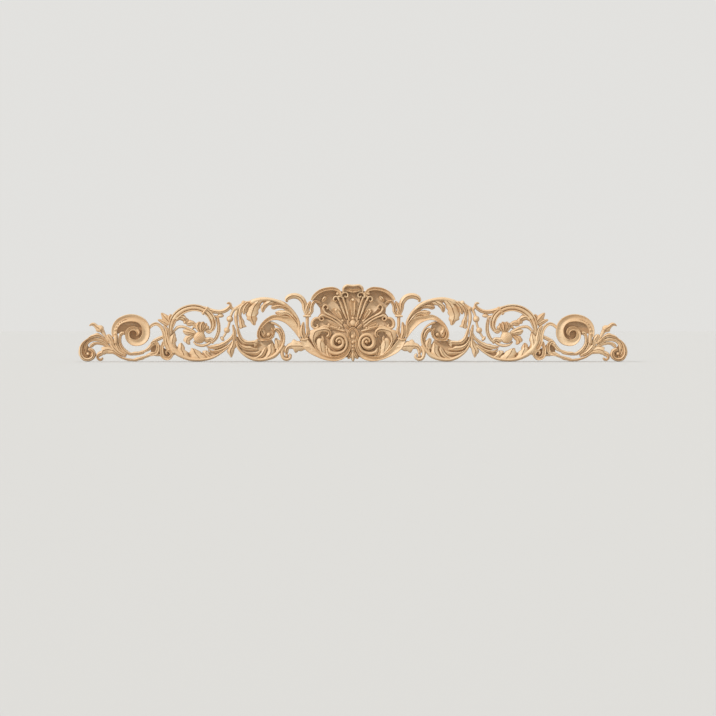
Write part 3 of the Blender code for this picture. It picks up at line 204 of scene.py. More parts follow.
# name, section, height of the edges, spine, half widths and heights of the crest from root to tip
STROKES = [
    ("crest side", rounded, 14, [(19.6, 138.8), (18.2, 146.8), (12.4, 151.4), (5, 151), (-2, 150.4)],
     [1.8, 2.6, 2.5, 2.4, 2.6], [19, 23, 25, 25, 25]),
    ("crest bowl", gouged, 13, [(14.8, 144.8), (8, 141.6), (-2, 140.4)], [1.8, 3.2, 4.2],
     [20, 22, 22.5]),
    ("arch", gouged, 14, [(83, 122), (77.4, 130.4), (70, 137.2), (60, 142.4), (49, 144.8), (39.4, 145),
     (31.4, 142.4), (25.8, 137), (25.6, 131.2), (30.2, 129.2)],
     [2.4, 3.4, 3.6, 3.7, 3.7, 3.6, 3.6, 3.2, 2.6, 1.8], [19, 21, 22, 22, 22, 22, 22, 21, 20, 18]),
    ("bay 4", scooped, 9, [(0, 78), (0, 110), (0, 136)], [4, 11, 16], [13, 12.5, 12]),
    ("bay 3", scooped, 9, [(11, 84), (19, 108), (25, 126)], [1.6, 4.4, 6.4], [13, 12.5, 12]),
    ("bay 2", scooped, 9, [(17, 80), (32, 99), (47, 118)], [2, 8, 12], [13, 12.5, 12]),
    ("bay 1", scooped, 9, [(21, 74), (44, 88), (62, 98)], [2, 4.4, 6], [13, 12, 11]),
    ("bay 0", scooped, 9, [(20, 65), (40, 71), (62, 77)], [2.4, 8, 12], [13, 12, 11]),
    ("ray 4", rounded, 11, [(20.8, 129), (15.6, 114), (10.8, 96), (7.2, 80)], [2.2, 2.2, 2.1, 1.8],
     [18, 17, 16, 14]),
    ("ray 3", rounded, 11, [(31.6, 127.6), (26.8, 120.8), (22.8, 111.2), (18.8, 99.6), (12.4, 84)],
     [2, 2.2, 2.2, 2, 1.8], [17, 17, 16, 15, 14]),
    ("ray 2", rounded, 11, [(59.2, 106), (55.6, 98), (46.8, 92.4), (32.2, 84.8), (20, 75.2)],
     [2, 2.2, 2.2, 2, 1.8], [17, 17, 16, 15, 14]),
    ("ray 1", rounded, 11, [(66.4, 87.2), (59.2, 90.6), (49.6, 88.2), (39.6, 83.2), (29.6, 76), (20, 68)],
     [2, 2.2, 2.2, 2, 2, 1.8], [17, 17, 16, 15, 14, 13]),
    ("shell rim", rounded, 11, [(68, 66.4), (56, 70), (42, 67.2), (26, 62.8), (16, 60)],
     [1.8, 2.4, 2.4, 2.2, 2], [15, 15, 15, 14, 14]),
    ("dart 1", gouged, 11, [(0, 122.8), (0, 110), (0, 90)], [5.2, 4.6, 2.8], [19, 19, 16]),
    ("dart 2", gouged, 11, [(33.2, 101.6), (28, 93.6), (22.8, 84.8)], [4, 3.6, 2.4], [18, 17.5, 15]),
    ("dart 3", gouged, 11, [(47.6, 72.8), (39, 70.2), (29.6, 67.2)], [3.8, 3.4, 2.4], [18, 17.5, 15]),
    ("base petal 1", leafy, 11, [(4.4, 69.2), (8.4, 75.2), (10.8, 82)], [1.8, 3, 1.6], [15, 17, 15]),
    ("base petal 2", leafy, 11, [(8.8, 65.6), (14, 70.4), (18.8, 74.4)], [1.8, 3, 1.6], [15, 17, 15]),
    ("side curl", rounded, 11, [(65, 86), (74.8, 85.6), (80.8, 79.4), (81.2, 70.8), (75.6, 66.2),
     (70, 69.6), (72.2, 74.2)], [2.4, 2.8, 3, 3, 2.8, 2.4, 1.4], [16, 17, 18, 18, 17, 16, 15]),
    ("arch leaf", leafy, 11, [(61, 119), (57.4, 125), (52.8, 130.4)], [2, 4.8, 1.8], [15, 17, 15]),
    ("bead bar", flat, 14.5, [(0, 64), (0, 42), (0, 18)], [4.8, 5.6, 4.4], [15, 15, 15]),
    ("husk side", leafy, 12, [(2, 21), (5.2, 12), (10.4, 5.2)], [2.4, 4.6, 2.4], [16, 18, 15]),
    ("husk", ridged, 12, [(0, 22), (0, 11), (0, 0)], [2.8, 5, 2], [17, 20, 16]),
    ("lower band", gouged, 13, [(99, 44.8), (93.4, 34), (84, 23.4), (72, 14.8), (59, 8.4), (45, 5.2),
     (30.4, 6), (17.2, 12), (8.8, 23.4), (6.6, 38), (9.4, 53.2), (5.6, 63), (-2, 67)], [6.4, 8.4, 7.6,
     5.8, 4.8, 4.6, 4.8, 4.8, 3.8, 2.6, 2.4, 2.4, 2.4],
     [17, 18, 19, 20, 21, 22, 22, 22, 21, 20, 20, 20, 20]),
    ("volute", rounded, 15, [(48.8, 27), (44.2, 18.4), (32.4, 15.2), (19.2, 20.2), (12.6, 32), (14.8, 46),
     (24.8, 52.8), (35.6, 50.8), (41.2, 42), (39.6, 31.2), (30, 26.4), (21.4, 31.4), (20, 40.4),
     (26, 46), (32.2, 43.4), (32.8, 37.2)], [1.6, 3.4, 3.8, 3.4, 3, 3.1, 3.2, 3.6, 4.2, 4.2, 4.2, 4, 3.8,
     3.4, 3, 2], [18, 21, 22, 22.5, 23, 23, 23, 23, 23, 23, 23.5, 24, 24, 24, 24, 24]),
    ("calyx left", leafy, 12, [(97, 44), (101.6, 60), (98.8, 78.8)], [3.2, 6, 1.6], [18, 20, 17]),
    ("calyx right", leafy, 12, [(95, 44.8), (90, 59), (91.6, 73)], [2.8, 4, 2.4], [17, 18, 16]),
    ("mouth", rounded, 12, [(106.4, 44.8), (98, 43.2), (88.8, 45.6)], [1.8, 2.4, 1.8], [18, 19, 18]),
    ("neck", ridged, 12, [(91.4, 66), (91.4, 82), (91.4, 97)], [3.2, 3.2, 3.8], [16, 17, 16]),
    ("collar", rounded, 12, [(99.2, 90.4), (91.4, 90.2), (83.6, 90.4)], [2, 2.6, 2], [18, 19, 18]),
    ("plume", leafy, 12, [(92, 91), (96.2, 104), (97.6, 116), (104.2, 126), (113.6, 130.4),
     (124.2, 129.8), (132, 124.6), (132, 118)], [2.8, 4.4, 5.4, 5.8, 5.8, 5.6, 5, 2.2],
     [16, 17, 18, 19, 20, 20, 20, 19]),
    ("bulb", leafy, 12, [(89.2, 92), (92.2, 102.8), (88.8, 113.2), (84.8, 120.4)], [2.4, 4.6, 4.4, 1.4],
     [16, 18, 18, 16]),
    ("crook", leafy, 12, [(88.8, 92), (83, 100), (82, 111), (76.8, 119), (70, 118.8), (64, 115.2)],
     [2.8, 4, 3.8, 3.6, 2.8, 1.2], [16, 18, 19, 19, 18, 17]),
    ("berry stem", rounded, 11, [(206, 118.8), (218, 116.2), (229.2, 109.6), (238, 102.8), (243, 94),
     (246.4, 80), (250, 66), (255.2, 54.8), (262.4, 43.6)],
     [2.4, 2.4, 2.4, 2.8, 2.6, 2.4, 2.2, 2.2, 1.6], [15, 15, 15, 15, 15, 15, 15, 14, 13]),
    ("branch", leafy, 12, [(306, 108.8), (290.8, 103.6), (275.2, 99.2), (262, 99.2), (251.6, 103.6),
     (245, 110.8), (247.2, 116.6), (252.4, 115.2)], [2.6, 4.4, 4.4, 4.4, 4.2, 4, 3, 1.6],
     [17, 18, 18, 18, 18, 18, 18, 17]),
    ("hook root", rounded, 11, [(245, 110), (241.2, 105), (238, 102)], [3.2, 3, 2.8], [15, 15, 15]),
    ("crown band", moulded, 12, [(364.4, 53), (363, 71.2), (355.4, 88.6), (341.6, 100.6), (326, 106.4),
     (310.8, 106.6), (297.6, 102), (287.2, 94), (280.8, 83.2), (279.2, 71.2), (284, 62), (295.2, 61.2)],
     [1.4, 5, 6.6, 7.2, 7.2, 7, 6.8, 6.6, 6.6, 6, 4.4, 2.2],
     [16, 17, 18, 19, 20, 20, 20, 20, 19, 18, 17, 16]),
    ("tendril", rounded, 11, [(359.2, 59), (349.6, 68), (338, 68.4), (326.8, 64.4), (315, 58)],
     [2, 3, 2.8, 2.6, 2.4], [14, 15, 16, 16, 16]),
    ("flower neck", rounded, 11, [(300, 66), (304, 52)], [4.8, 5.2], [15, 15]),
    ("petal 2", leafy, 10, [(315, 54), (328, 48), (337.2, 40)], [2.4, 4.4, 1.8], [14, 14, 12]),
    ("petal 4", leafy, 10, [(310, 64), (317.6, 74), (325.2, 81.2)], [2.4, 4.4, 1.8], [15, 15, 13]),
    ("cup", rounded, 11, [(318.8, 39.6), (312.4, 33.4), (301.2, 31.2), (290.8, 34), (284, 38.8)],
     [1.4, 2.4, 2.8, 2.8, 2.4], [14, 16, 16, 16, 15]),
    ("right band", moulded, 11, [(270.8, 86), (268.2, 70.8), (269.2, 57.2), (274.8, 44.8), (283.6, 36.4)],
     [3, 3.4, 3.6, 3.4, 2.4], [16, 17, 17, 17, 15]),
    ("band tooth", rounded, 11, [(268, 87), (274, 89), (282.8, 88.8)], [3.2, 2.8, 2.8], [15, 15, 15]),
    ("link stem", gouged, 12, [(407, 66.8), (400.8, 72.4), (392.8, 74.8), (384.8, 70), (379.8, 62),
     (376.8, 50.8), (375.2, 37.2), (368.8, 24.4), (356.8, 12.8)],
     [2.6, 3.2, 3.2, 3.2, 3.2, 3.4, 3.6, 3.8, 3.2], [16] * 9),
    ("link stem 2", leafy, 12, [(378, 71.6), (372.2, 63.6), (369.6, 51.2), (366.6, 38), (360.8, 24.8),
     (351.2, 14)], [1.8, 4.2, 4.6, 4.6, 4.6, 3.6], [15, 17, 17, 17, 16, 16]),
    ("link leaf 1", leafy, 11, [(364, 75.2), (373.2, 85.2), (383.2, 96.8)], [4.8, 7.2, 1.6],
     [16, 16, 13]),
    ("link leaf 2", leafy, 11, [(369.2, 72.8), (380, 79.2), (390, 83.2)], [4, 4.8, 1.6], [15, 15, 13]),
    ("link leaf 3", leafy, 11, [(364, 77.2), (366.4, 86), (363.6, 94.4)], [3.8, 4.6, 1.8], [16, 16, 14]),
    ("link spur", leafy, 11, [(376.8, 50), (388.8, 44.8), (400.8, 38.8)], [3.2, 3.8, 2.8], [15, 15, 15]),
    ("curl 1", gouged, 11, [(405, 13.2), (393.2, 16.8), (389.6, 28.8), (394.4, 38.4), (401.6, 36.4),
     (401.2, 28.8)], [3.4, 3.6, 3.4, 3.4, 2.8, 1.6], [15, 16, 16, 17, 17, 16]),
    ("curl 2", gouged, 11, [(378.4, 39), (382.2, 24), (379.6, 10), (369.6, 5.6), (362.4, 12.8),
     (366.4, 20.8), (372.8, 18.8), (371.6, 13.6)], [2.8, 3.4, 3.8, 3.8, 3.6, 3, 2.2, 1.4],
     [15, 16, 17, 17, 17, 17, 17, 16]),
    ("curl lip", rounded, 10, [(394, 13), (385, 12.8), (378, 10)], [3, 3, 3], [13, 13, 13]),
    ("sheath", leafy, 11, [(485, 43), (478.8, 29.2), (468, 18), (453, 10)], [2.8, 4.8, 4.4, 2.4],
     [15, 16, 16, 15]),
    ("sheath 2", leafy, 11, [(474.4, 54), (473.2, 38.4), (466.8, 23.2), (452.8, 13)], [3, 3.6, 3.8, 2.4],
     [15, 15, 15, 14]),
    ("foot curl", rounded, 12, [(135.2, 30.8), (141.2, 22), (141.6, 14), (138.4, 6.4), (132, 4),
     (126, 6.8), (124.8, 12), (128, 15.2)], [2, 3.8, 3.8, 3.6, 3.6, 3.4, 2.8, 1.6],
     [17, 18, 19, 20, 20, 20, 20, 19]),
    ("side leaf", leafy, 11, [(240, 73), (237.6, 62), (236.4, 53), (238, 46)], [1.6, 3, 3.8, 2],
     [15, 16, 16, 15]),
    ("end swirl 1", leafy, 10, [(539.2, 27.2), (538.8, 19.2), (535.2, 12), (529.2, 8)],
     [1.8, 3, 2.8, 1.4], [15, 16, 16, 14]),
    ("end swirl 2", leafy, 10, [(533.2, 25.2), (534, 20.4), (532.8, 16)], [1.6, 2.4, 1.2], [14, 15, 14]),
    ("end swirl 3", leafy, 10, [(517.6, 18.4), (521.2, 12.8), (526.8, 9.6)], [2, 2.8, 1.2], [15, 16, 14]),
    ("bud stem", rounded, 11, [(501.2, 60.8), (495.6, 51.2), (487.6, 39)], [4.4, 2.6, 3.2], [15, 14, 14]),
    ("channel tail", rounded, 11, [(459.2, 82.2), (454.8, 83.8), (450, 84.8)], [1.4, 1.2, 0.6],
     [16, 16, 15]),
    ("tie", rounded, 12, [(473.6, 52), (473.6, 43), (473.6, 34)], [3.6, 4, 3.6], [19, 20, 19]),
    ("centre lobe 3", leafy, 11, [(63, 36), (60.4, 44.8), (62, 51.6)], [3.6, 3.2, 1.4], [15, 15, 14]),
    ("fold a", leafy, 12, [(305.2, 60), (308.8, 66), (309.2, 72.8), (305.6, 79.2)],
     [2.8, 4.8, 5.2, 4.4, 1.8], [17, 19, 19.5, 18]),
    ("fold b", leafy, 12, [(302.8, 60), (302.4, 66), (301.6, 72.8), (298, 79.2)], [2.8, 4.4, 5, 4.2, 1.8],
     [18, 20.5, 21, 19]),
    ("fold c", leafy, 12, [(300.4, 60), (297.2, 64.8), (294.4, 70.4), (293.2, 76.4)],
     [2.4, 3.8, 4.2, 3.2, 1.4], [17, 19, 19, 17]),
    ("hook 4", rounded, 12, [(23, 127), (22.8, 132.8), (19.2, 136.8), (13.6, 137.2), (10, 133.6),
     (11.2, 128.8), (15.2, 128.4), (16.2, 131.6)], [2, 1.9, 1.8, 1.8, 1.8, 1.7, 1.6, 1.2],
     [18, 19, 19, 19, 19, 19, 19, 19]),
    ("hook 3", rounded, 12, [(28, 120.8), (29.2, 126.4), (33.2, 129.2), (37.6, 127.6), (38.8, 122.8),
     (35.6, 119.6), (32, 121.2)], [1.9, 1.8, 1.8, 1.8, 1.7, 1.6, 1.2], [18, 19, 19, 19, 19, 19, 19]),
    ("hook 2", rounded, 12, [(55.2, 98), (59.2, 103.2), (59.2, 109.2), (55.2, 112.4), (50.8, 110.4),
     (50, 106), (53.6, 104)], [1.9, 1.8, 1.8, 1.8, 1.7, 1.6, 1.2], [17, 18, 18, 18, 18, 18, 18]),
    ("hook 1", rounded, 12, [(55, 90.2), (60, 92.2), (65.2, 90.4), (67.2, 85.6), (64.2, 81.4),
     (59.6, 82.4), (58.8, 86.4), (62, 87.2)], [1.9, 1.8, 1.8, 1.8, 1.7, 1.6, 1.4, 1.2],
     [17, 18, 18, 18, 18, 18, 18, 18]),
    ("band tie", rounded, 12, [(300.8, 93.6), (295.4, 101.2), (289.2, 108.8)], [2.4, 2.6, 2.4],
     [21, 22, 21]),
    ("band tooth 2", rounded, 11, [(294, 60.8), (288.8, 57.4), (283.6, 60), (280.8, 65.2)],
     [1.8, 2.4, 2.4, 1.2], [15, 16, 16, 15]),
    ("link tooth", rounded, 11, [(321.2, 64.8), (318.8, 68.4), (315.2, 66.8)], [1.6, 1.6, 1.2],
     [15, 16, 15]),
]

# name, section, height of the edges, left edge, right edge, heights of the crest
LEAVES = [
    ("great leaf", rounded, 12, [(102, 48), (104.4, 66), (106.4, 81), (114.4, 96.8), (126, 110),
     (138, 119), (151, 123.6), (166, 127.2), (182, 128), (198, 124.8), (210, 120)], [(110, 48),
     (110, 66), (111.6, 82), (120.4, 95), (131.4, 105.6), (141.4, 111.6), (152.4, 116.8), (166, 119.6),
     (181, 119.6), (194, 116.4), (203, 110)], [17, 18, 19, 20, 21, 21, 21, 21, 20, 19, 17]),
    ("lobe E", leafy, 11, [(107, 78), (111, 82.8), (117, 90.8), (125, 98), (134, 102), (143, 102.8),
     (150, 101.6), (156, 97.4)], [(113, 66), (118, 77), (122.8, 82.2), (128, 89.2), (134.8, 91.8),
     (143.6, 89.6), (150.4, 92.2), (156, 96.2)], [17, 18, 18, 17, 17, 16, 15, 13]),
    ("lobe D", leafy, 11, [(122, 104), (129, 107.4), (137, 111.6), (148, 113.6), (158.4, 112.6),
     (164, 109.2)], [(125, 99), (133, 102.8), (142, 105), (151, 104.8), (159, 103), (164, 106)],
     [18, 18, 18, 18, 17, 15]),
    ("lobe C", leafy, 11, [(174, 123), (178, 118.2), (182.8, 113.2), (185, 107.2), (184, 101.2),
     (180.8, 97.2)], [(152, 116), (162, 112.2), (168.8, 110.2), (173.2, 106.4), (176, 102),
     (179.2, 97.4)], [19, 19, 18, 18, 16, 14]),
    ("lobe B", leafy, 11, [(194, 123), (202, 114.8), (208.8, 108), (212.4, 100.8), (214.8, 92),
     (213.4, 84.4), (207.4, 80.2), (201.4, 73.8), (198.8, 72)], [(177, 122), (182.8, 115), (185.6, 108),
     (187.2, 100.8), (189.6, 94), (190.6, 86.8), (192, 80), (195.2, 72.4), (197.2, 71.8)],
     [19, 19, 18, 18, 17, 17, 16, 15, 14]),
    ("lobe A1", leafy, 11, [(214, 117), (218.8, 110.8), (221.2, 104), (221.2, 98), (219.4, 93.6)],
     [(202, 115), (208, 108.8), (212.2, 102.4), (214, 97.6), (216.8, 93.6)], [19, 18, 18, 17, 16]),
    ("lobe A", leafy, 11, [(213, 121), (223, 115), (228.2, 107), (229.6, 96), (229, 84), (228.6, 75),
     (228, 68), (225.2, 64)], [(206, 117), (214, 109), (219, 102), (222.8, 91.6), (218, 82), (215, 74),
     (212.8, 69.2), (220.8, 66.6)], [18, 18, 17, 16, 16, 16, 15, 14]),
    ("side rim", rounded, 11, [(226, 111), (232.8, 105), (236.8, 96), (237.6, 86), (236.2, 77),
     (233.6, 68.4), (231.6, 62)], [(221.2, 109.4), (228, 103.4), (230.2, 94), (230.4, 85), (229.8, 76.4),
     (228.8, 68.4), (226.8, 62)], [16] * 7),
    ("tip 1", leafy, 11, [(229, 69), (225, 57), (221.2, 48.4), (214, 42.6), (204.8, 41.2), (197.6, 42.4),
     (190.8, 44.8), (187.2, 40.8)], [(233.2, 64), (231.2, 54), (227.2, 43.2), (218.8, 34.4),
     (208.8, 32.8), (198.4, 32.4), (197.2, 27.2), (190.8, 32.8)], [16, 17, 18, 18, 18, 17, 16, 14]),
    ("tip 2", leafy, 11, [(234, 56), (230.8, 44.8), (224.8, 36), (216, 31.6), (206, 31.2), (198, 26.8),
     (190.4, 26)], [(236, 50), (233.2, 38.8), (226.4, 28.8), (217.2, 22.2), (206.8, 20.6), (196.8, 21.4),
     (188.8, 22.8)], [15, 17, 18, 18, 17, 16, 14]),
    ("tip 3", leafy, 11, [(236, 46), (232.8, 35.2), (226, 25.2), (215.2, 19.2), (203, 18), (192, 19.2),
     (184, 23.2)], [(234, 36), (229.2, 26.8), (221.2, 18), (211.6, 14), (200.8, 12.8), (190, 12.8),
     (183.6, 18.8)], [15, 17, 18, 18, 17, 16, 14]),
    ("lobe 4", leafy, 11, [(206, 7.2), (196, 8.8), (188, 13.2), (183.2, 19.6), (179.2, 24.8),
     (176, 29.6)], [(194, 2.8), (184, 5.6), (177.2, 11.2), (173.4, 17.6), (172, 24), (173.6, 28.4)],
     [18, 18, 17, 17, 16, 14]),
    ("lobe 5", leafy, 11, [(188, 3.2), (178, 8.8), (172.8, 16.8), (171.6, 24.8), (170.4, 32), (166.8, 34),
     (164, 37.2)], [(170, 2.8), (161.6, 10), (155.6, 16.8), (154.8, 23.2), (157.2, 29.2), (158.4, 34),
     (160.8, 37.6)], [18, 18, 18, 17, 17, 16, 14]),
    ("lobe 6", leafy, 11, [(166, 4), (156.8, 12.8), (154, 22), (153, 26.8), (150, 29.6)], [(156, 8),
     (148, 16.4), (144, 24.4), (143.6, 27.6), (147.2, 28.8)], [18, 17, 17, 16, 14]),
    ("inner leaf", leafy, 11, [(156.4, 24), (157.4, 30.8), (157.6, 38), (156.4, 44), (154.8, 46.8)],
     [(144, 26.8), (141.6, 36), (144, 41.2), (148.4, 42.8), (151.6, 46.4)], [16, 17, 17, 16, 14]),
    ("curl tip", leafy, 11, [(139.6, 32), (139, 44), (139.6, 54), (142.4, 60.8), (146.8, 65.6),
     (152.4, 67.6), (157.2, 65.2), (160.4, 60.8)], [(144, 32), (145.2, 42), (148, 50), (150.8, 55.6),
     (154, 59.2), (156.4, 59.6), (157.4, 56), (158.8, 52)], [16, 17, 18, 18, 18, 18, 17, 16]),
    ("lower leaf", rounded, 12, [(236.8, 40), (232.8, 28.8), (226.8, 19.2), (218, 10.8), (207.2, 4),
     (194, 0), (180, 0), (166, 2.8), (154, 8), (145.2, 18), (139.2, 28), (135.6, 40), (136, 54),
     (140.8, 64.8), (148, 72.8), (158, 78.4), (166.8, 80.8)], [(232, 40), (228.4, 30.8), (222.4, 22.4),
     (213.2, 14.8), (202.8, 9.6), (192, 6.8), (180, 7.2), (168, 10.4), (158, 16), (149.2, 24),
     (143.6, 32), (140, 42), (139.6, 52.8), (143.2, 62), (149.6, 68.8), (158, 73.2), (165.2, 75.2)], [16,
     17, 18, 19, 20, 20, 20, 20, 20, 20, 20, 20, 19, 19, 19, 18, 16]),
    ("spiral stem", gouged, 12, [(104.8, 54), (110.8, 73), (118.8, 83.2), (128.8, 89.2), (142, 91.2),
     (154, 93.6), (165.2, 90.8), (176.8, 82.8), (185.6, 72.4), (191.2, 60), (191.6, 48.8), (186.4, 41.2),
     (176, 40.4), (165.2, 42), (158.4, 48.8), (156, 56.8), (158.8, 63.2), (162.8, 67.6)], [(106, 43.2),
     (116, 56.8), (126, 68), (134.8, 75.6), (144.8, 80.4), (154.8, 82.4), (164.4, 80.8), (172.4, 75.6),
     (180.8, 66.8), (185.6, 58), (185.2, 51.2), (181.2, 46.4), (174.4, 45.2), (167.6, 46.8),
     (163.2, 51.2), (161.2, 56.8), (162.4, 62), (164.4, 65.2)], [16, 17, 17, 18, 19, 19, 19, 20, 20, 20,
     20, 20, 20, 20, 20, 20, 20, 18]),
    ("eye leaf", leafy, 11, [(168.8, 80.4), (176.8, 75.2), (184, 66.8), (185.4, 58.8), (182.8, 50.8),
     (178, 45.2)], [(166, 78), (173.4, 74.8), (178, 70), (177.8, 64.4), (174.4, 60), (173.6, 54)],
     [17, 17, 16, 16, 16, 15]),
    ("curl leaf", leafy, 11, [(366.8, 56), (366.2, 70), (363.2, 78.8), (356.8, 86.4), (348.8, 91.2),
     (340.8, 93.6), (334.4, 90.4), (332.2, 84.8), (332.8, 82)], [(360, 56), (360.8, 67.2), (357.2, 74.8),
     (352.8, 79.6), (347.2, 81.6), (342, 80.8), (338.8, 80), (335.6, 81.2), (334, 81.6)],
     [15, 16, 17, 18, 18, 18, 18, 17, 15]),
    ("curl lobe 2", leafy, 11, [(343, 81.2), (339.2, 79.2), (338.8, 76), (335.2, 74.2)], [(331.2, 88),
     (327.6, 82.8), (328.8, 78.4), (332, 74.8)], [15, 16, 16, 14]),
    ("curl lobe 3", leafy, 11, [(334, 76.8), (327, 82.4), (321, 82.2), (314.8, 77.2)], [(332, 71.2),
     (326, 69.6), (320, 70.4), (314, 70)], [14, 16, 16, 15]),
    ("petal 1", leafy, 11, [(314, 60), (320, 59.6), (326, 62.8), (334, 64.8), (340.2, 63.2)],
     [(314, 53.6), (321, 52.4), (328, 52), (335.2, 52.8), (340.2, 58.8)], [16, 17, 17, 16, 14]),
    ("petal 3", leafy, 11, [(326, 52), (334.8, 50.8), (338.8, 46), (338.4, 40), (335.2, 38.8)],
     [(317, 50), (323, 42.8), (324.8, 38), (325.6, 33.4), (330, 32.2)], [14, 15, 15, 15, 13]),
    ("petal 5", leafy, 11, [(299, 49), (292, 47.6), (285.2, 48.6), (279.2, 46), (276.2, 40)], [(296, 37),
     (290.8, 37.2), (286, 39.6), (283.2, 36.4), (280.8, 32.8)], [16, 16, 16, 16, 14]),
    ("crescent 1", leafy, 11, [(292.8, 29.6), (284, 32), (274.8, 34.4), (264.8, 37), (256, 40.8),
     (248.4, 46), (242.8, 52.8), (238.8, 60)], [(292.4, 28.4), (285.2, 24.4), (276.4, 22.8),
     (264.4, 26.2), (254, 32.8), (245.6, 39.2), (239.2, 46), (236.8, 56)],
     [14, 16, 17, 17, 16, 16, 15, 14]),
    ("crescent 2", leafy, 11, [(290.4, 26), (280.8, 22), (268, 24.2), (256.8, 29.2), (246.8, 36),
     (240, 44)], [(288.8, 21.2), (279.6, 17.2), (269.2, 16.8), (258.4, 20.8), (249.2, 27.2),
     (241.6, 35.2)], [14, 16, 17, 17, 16, 15]),
    ("bottom leaf", rounded, 12, [(244, 30), (252.8, 22.8), (262, 15.6), (276, 6.8), (292, 1.4),
     (310, -0.4), (326, 0.8), (340, 5.2), (354, 12.4), (364, 22.8), (369.6, 35.2), (370, 48)],
     [(248, 32.8), (256.8, 24.4), (266.8, 17.2), (280.8, 10.4), (295.2, 7.2), (310, 6.4), (324, 8),
     (336, 12.8), (347.2, 20.8), (356.8, 30.4), (362, 40), (364.8, 50)],
     [16, 17, 18, 19, 20, 20, 20, 20, 19, 18, 17, 16]),
    ("spur 1", leafy, 11, [(364, 18), (367.2, 28), (368.4, 38), (367.6, 46), (364.8, 52), (357.8, 56.8)],
     [(346, 14), (351.6, 20.8), (354, 30), (352.2, 39.2), (352.4, 45.2), (356, 56.8)],
     [18, 18, 17, 17, 16, 14]),
    ("spur 2", leafy, 11, [(340, 4), (346.8, 12), (350.8, 20.8), (351.6, 26.8), (349.6, 32),
     (346.8, 35.6), (343.6, 37.4)], [(322, 2.8), (326.8, 11.2), (329.2, 17.6), (334, 22), (335.6, 26.8),
     (338.8, 32.4), (341.6, 36.4)], [18, 18, 17, 17, 16, 15, 14]),
    ("spur 3", leafy, 11, [(318, 1.2), (324, 8), (326.8, 14), (326.4, 20), (324.8, 24.8), (322.4, 26.8)],
     [(290, 4), (294, 10.8), (301.2, 16), (306.4, 20.8), (313.2, 24), (320, 26.2)],
     [18, 18, 17, 17, 16, 14]),
    ("spur 4", leafy, 11, [(290, 4.8), (296.8, 12.8), (302, 18.8), (298.8, 21.2), (294.8, 22)],
     [(274, 9.2), (280.8, 10.4), (284.8, 14), (286.4, 18), (290, 21.2)], [18, 17, 16, 15, 14]),
    ("foot leaf", leafy, 11, [(90, 36), (100, 34.8), (106, 39.6), (112.8, 43.2), (120, 43.4),
     (126.8, 36.8), (132.8, 32.6), (136.8, 26.8), (138, 20), (135.2, 14.4)], [(82, 19.2), (93.2, 21.6),
     (102, 20.4), (108.8, 17.6), (116, 17.2), (120, 24), (125.2, 24.4), (128.4, 21.2), (129.4, 17.6),
     (130.4, 14.4)], [16, 17, 18, 18, 18, 18, 18, 18, 18, 17]),
    ("end leaf", leafy, 12, [(484, 38), (491.2, 41.6), (497.6, 48), (504, 54), (511.2, 56.8), (518, 54.2),
     (524.4, 51.6), (529.2, 47.2), (535.2, 42.8), (541.6, 37.2), (546, 30), (548.2, 22), (547.6, 13.2),
     (544, 6), (538, 1), (531.2, -0.4), (524, 0.8), (517.6, 4.8), (513.8, 11.6), (514.4, 18.4),
     (518, 24), (523.2, 26.6), (526.8, 29.2)], [(484, 32.4), (491.6, 37.2), (498, 42.4), (504.4, 46),
     (511.2, 47.4), (518.8, 46.4), (524.8, 44.8), (529.2, 42.6), (533.2, 40), (536.4, 36), (538.6, 30.8),
     (540, 24.8), (540.4, 18.8), (538.8, 13.2), (535.2, 8.8), (530.8, 7.2), (526.8, 7.6), (523.2, 10.4),
     (521.6, 14), (522.4, 17.2), (524.8, 19.6), (528, 20.8), (530.8, 20.4)], [15, 16, 17, 17, 18, 18, 18,
     18, 18, 19, 19, 19, 19, 19, 19, 19, 19, 19, 19, 19, 18, 17, 16]),
    ("end leaf 2", leafy, 11, [(486, 31.6), (494.8, 40.8), (503.2, 46), (511.2, 47.4), (519.2, 46.4),
     (526, 44.6), (532, 40.8), (536.6, 35.6), (538.8, 29.2), (537.2, 24.4), (533.6, 21.4)], [(486, 26.8),
     (494.8, 32.4), (500.8, 36), (508, 38.8), (516, 40), (523.2, 38.6), (527.6, 35.6), (530.2, 31.6),
     (531.4, 27.6), (531.6, 24), (532.2, 21.2)], [14, 14, 15, 15, 15, 15, 15, 16, 16, 16, 15]),
    ("end leaf 3", leafy, 10, [(482, 30), (494, 33.4), (502, 37.2), (511, 38.8), (519, 38), (524.8, 34),
     (527.2, 29.2)], [(482, 26), (493, 29.2), (501, 31.6), (509.4, 33.2), (515.6, 32), (520.2, 28.4),
     (523.2, 26.4)], [14] * 7),
    ("end leaf 4", leafy, 11, [(480, 27), (490, 31), (497.2, 30.2), (502.8, 27.2), (501.2, 23.2),
     (506.4, 20), (510.8, 16.8), (513.2, 12), (512, 5.2), (507.2, 0.8), (501.6, 1.2), (498.4, 5.6)],
     [(477, 14.8), (486, 15.4), (492.8, 14.6), (496.8, 12.8), (500, 11.2), (503.2, 10), (506, 9.2),
     (507.2, 8), (506.8, 6.4), (505.2, 5.6), (502.8, 6.8), (500.8, 8.8)],
     [14, 15, 16, 16, 16, 16, 17, 17, 17, 17, 17, 16]),
    ("end leaf 5", leafy, 11, [(484, 28), (486, 35.2), (488.8, 42), (492.8, 48.4), (492.6, 53.2)],
     [(476.8, 28.8), (476.2, 37.2), (478.4, 44.8), (482.8, 51.2), (487.6, 55.2)], [15, 15, 16, 16, 14]),
    ("beak", leafy, 11, [(496.8, 62), (499.2, 69.2), (504.4, 73.2), (509.2, 72.4), (512.8, 74.8),
     (516.8, 77.4), (522, 76.8), (527.2, 72.4)], [(506.8, 57.2), (511.6, 59.2), (514.4, 60.8),
     (515, 64.8), (516.8, 68), (519.6, 70.2), (523.2, 71.2), (526.6, 69.6)],
     [17, 18, 17, 17, 16, 16, 15, 14]),
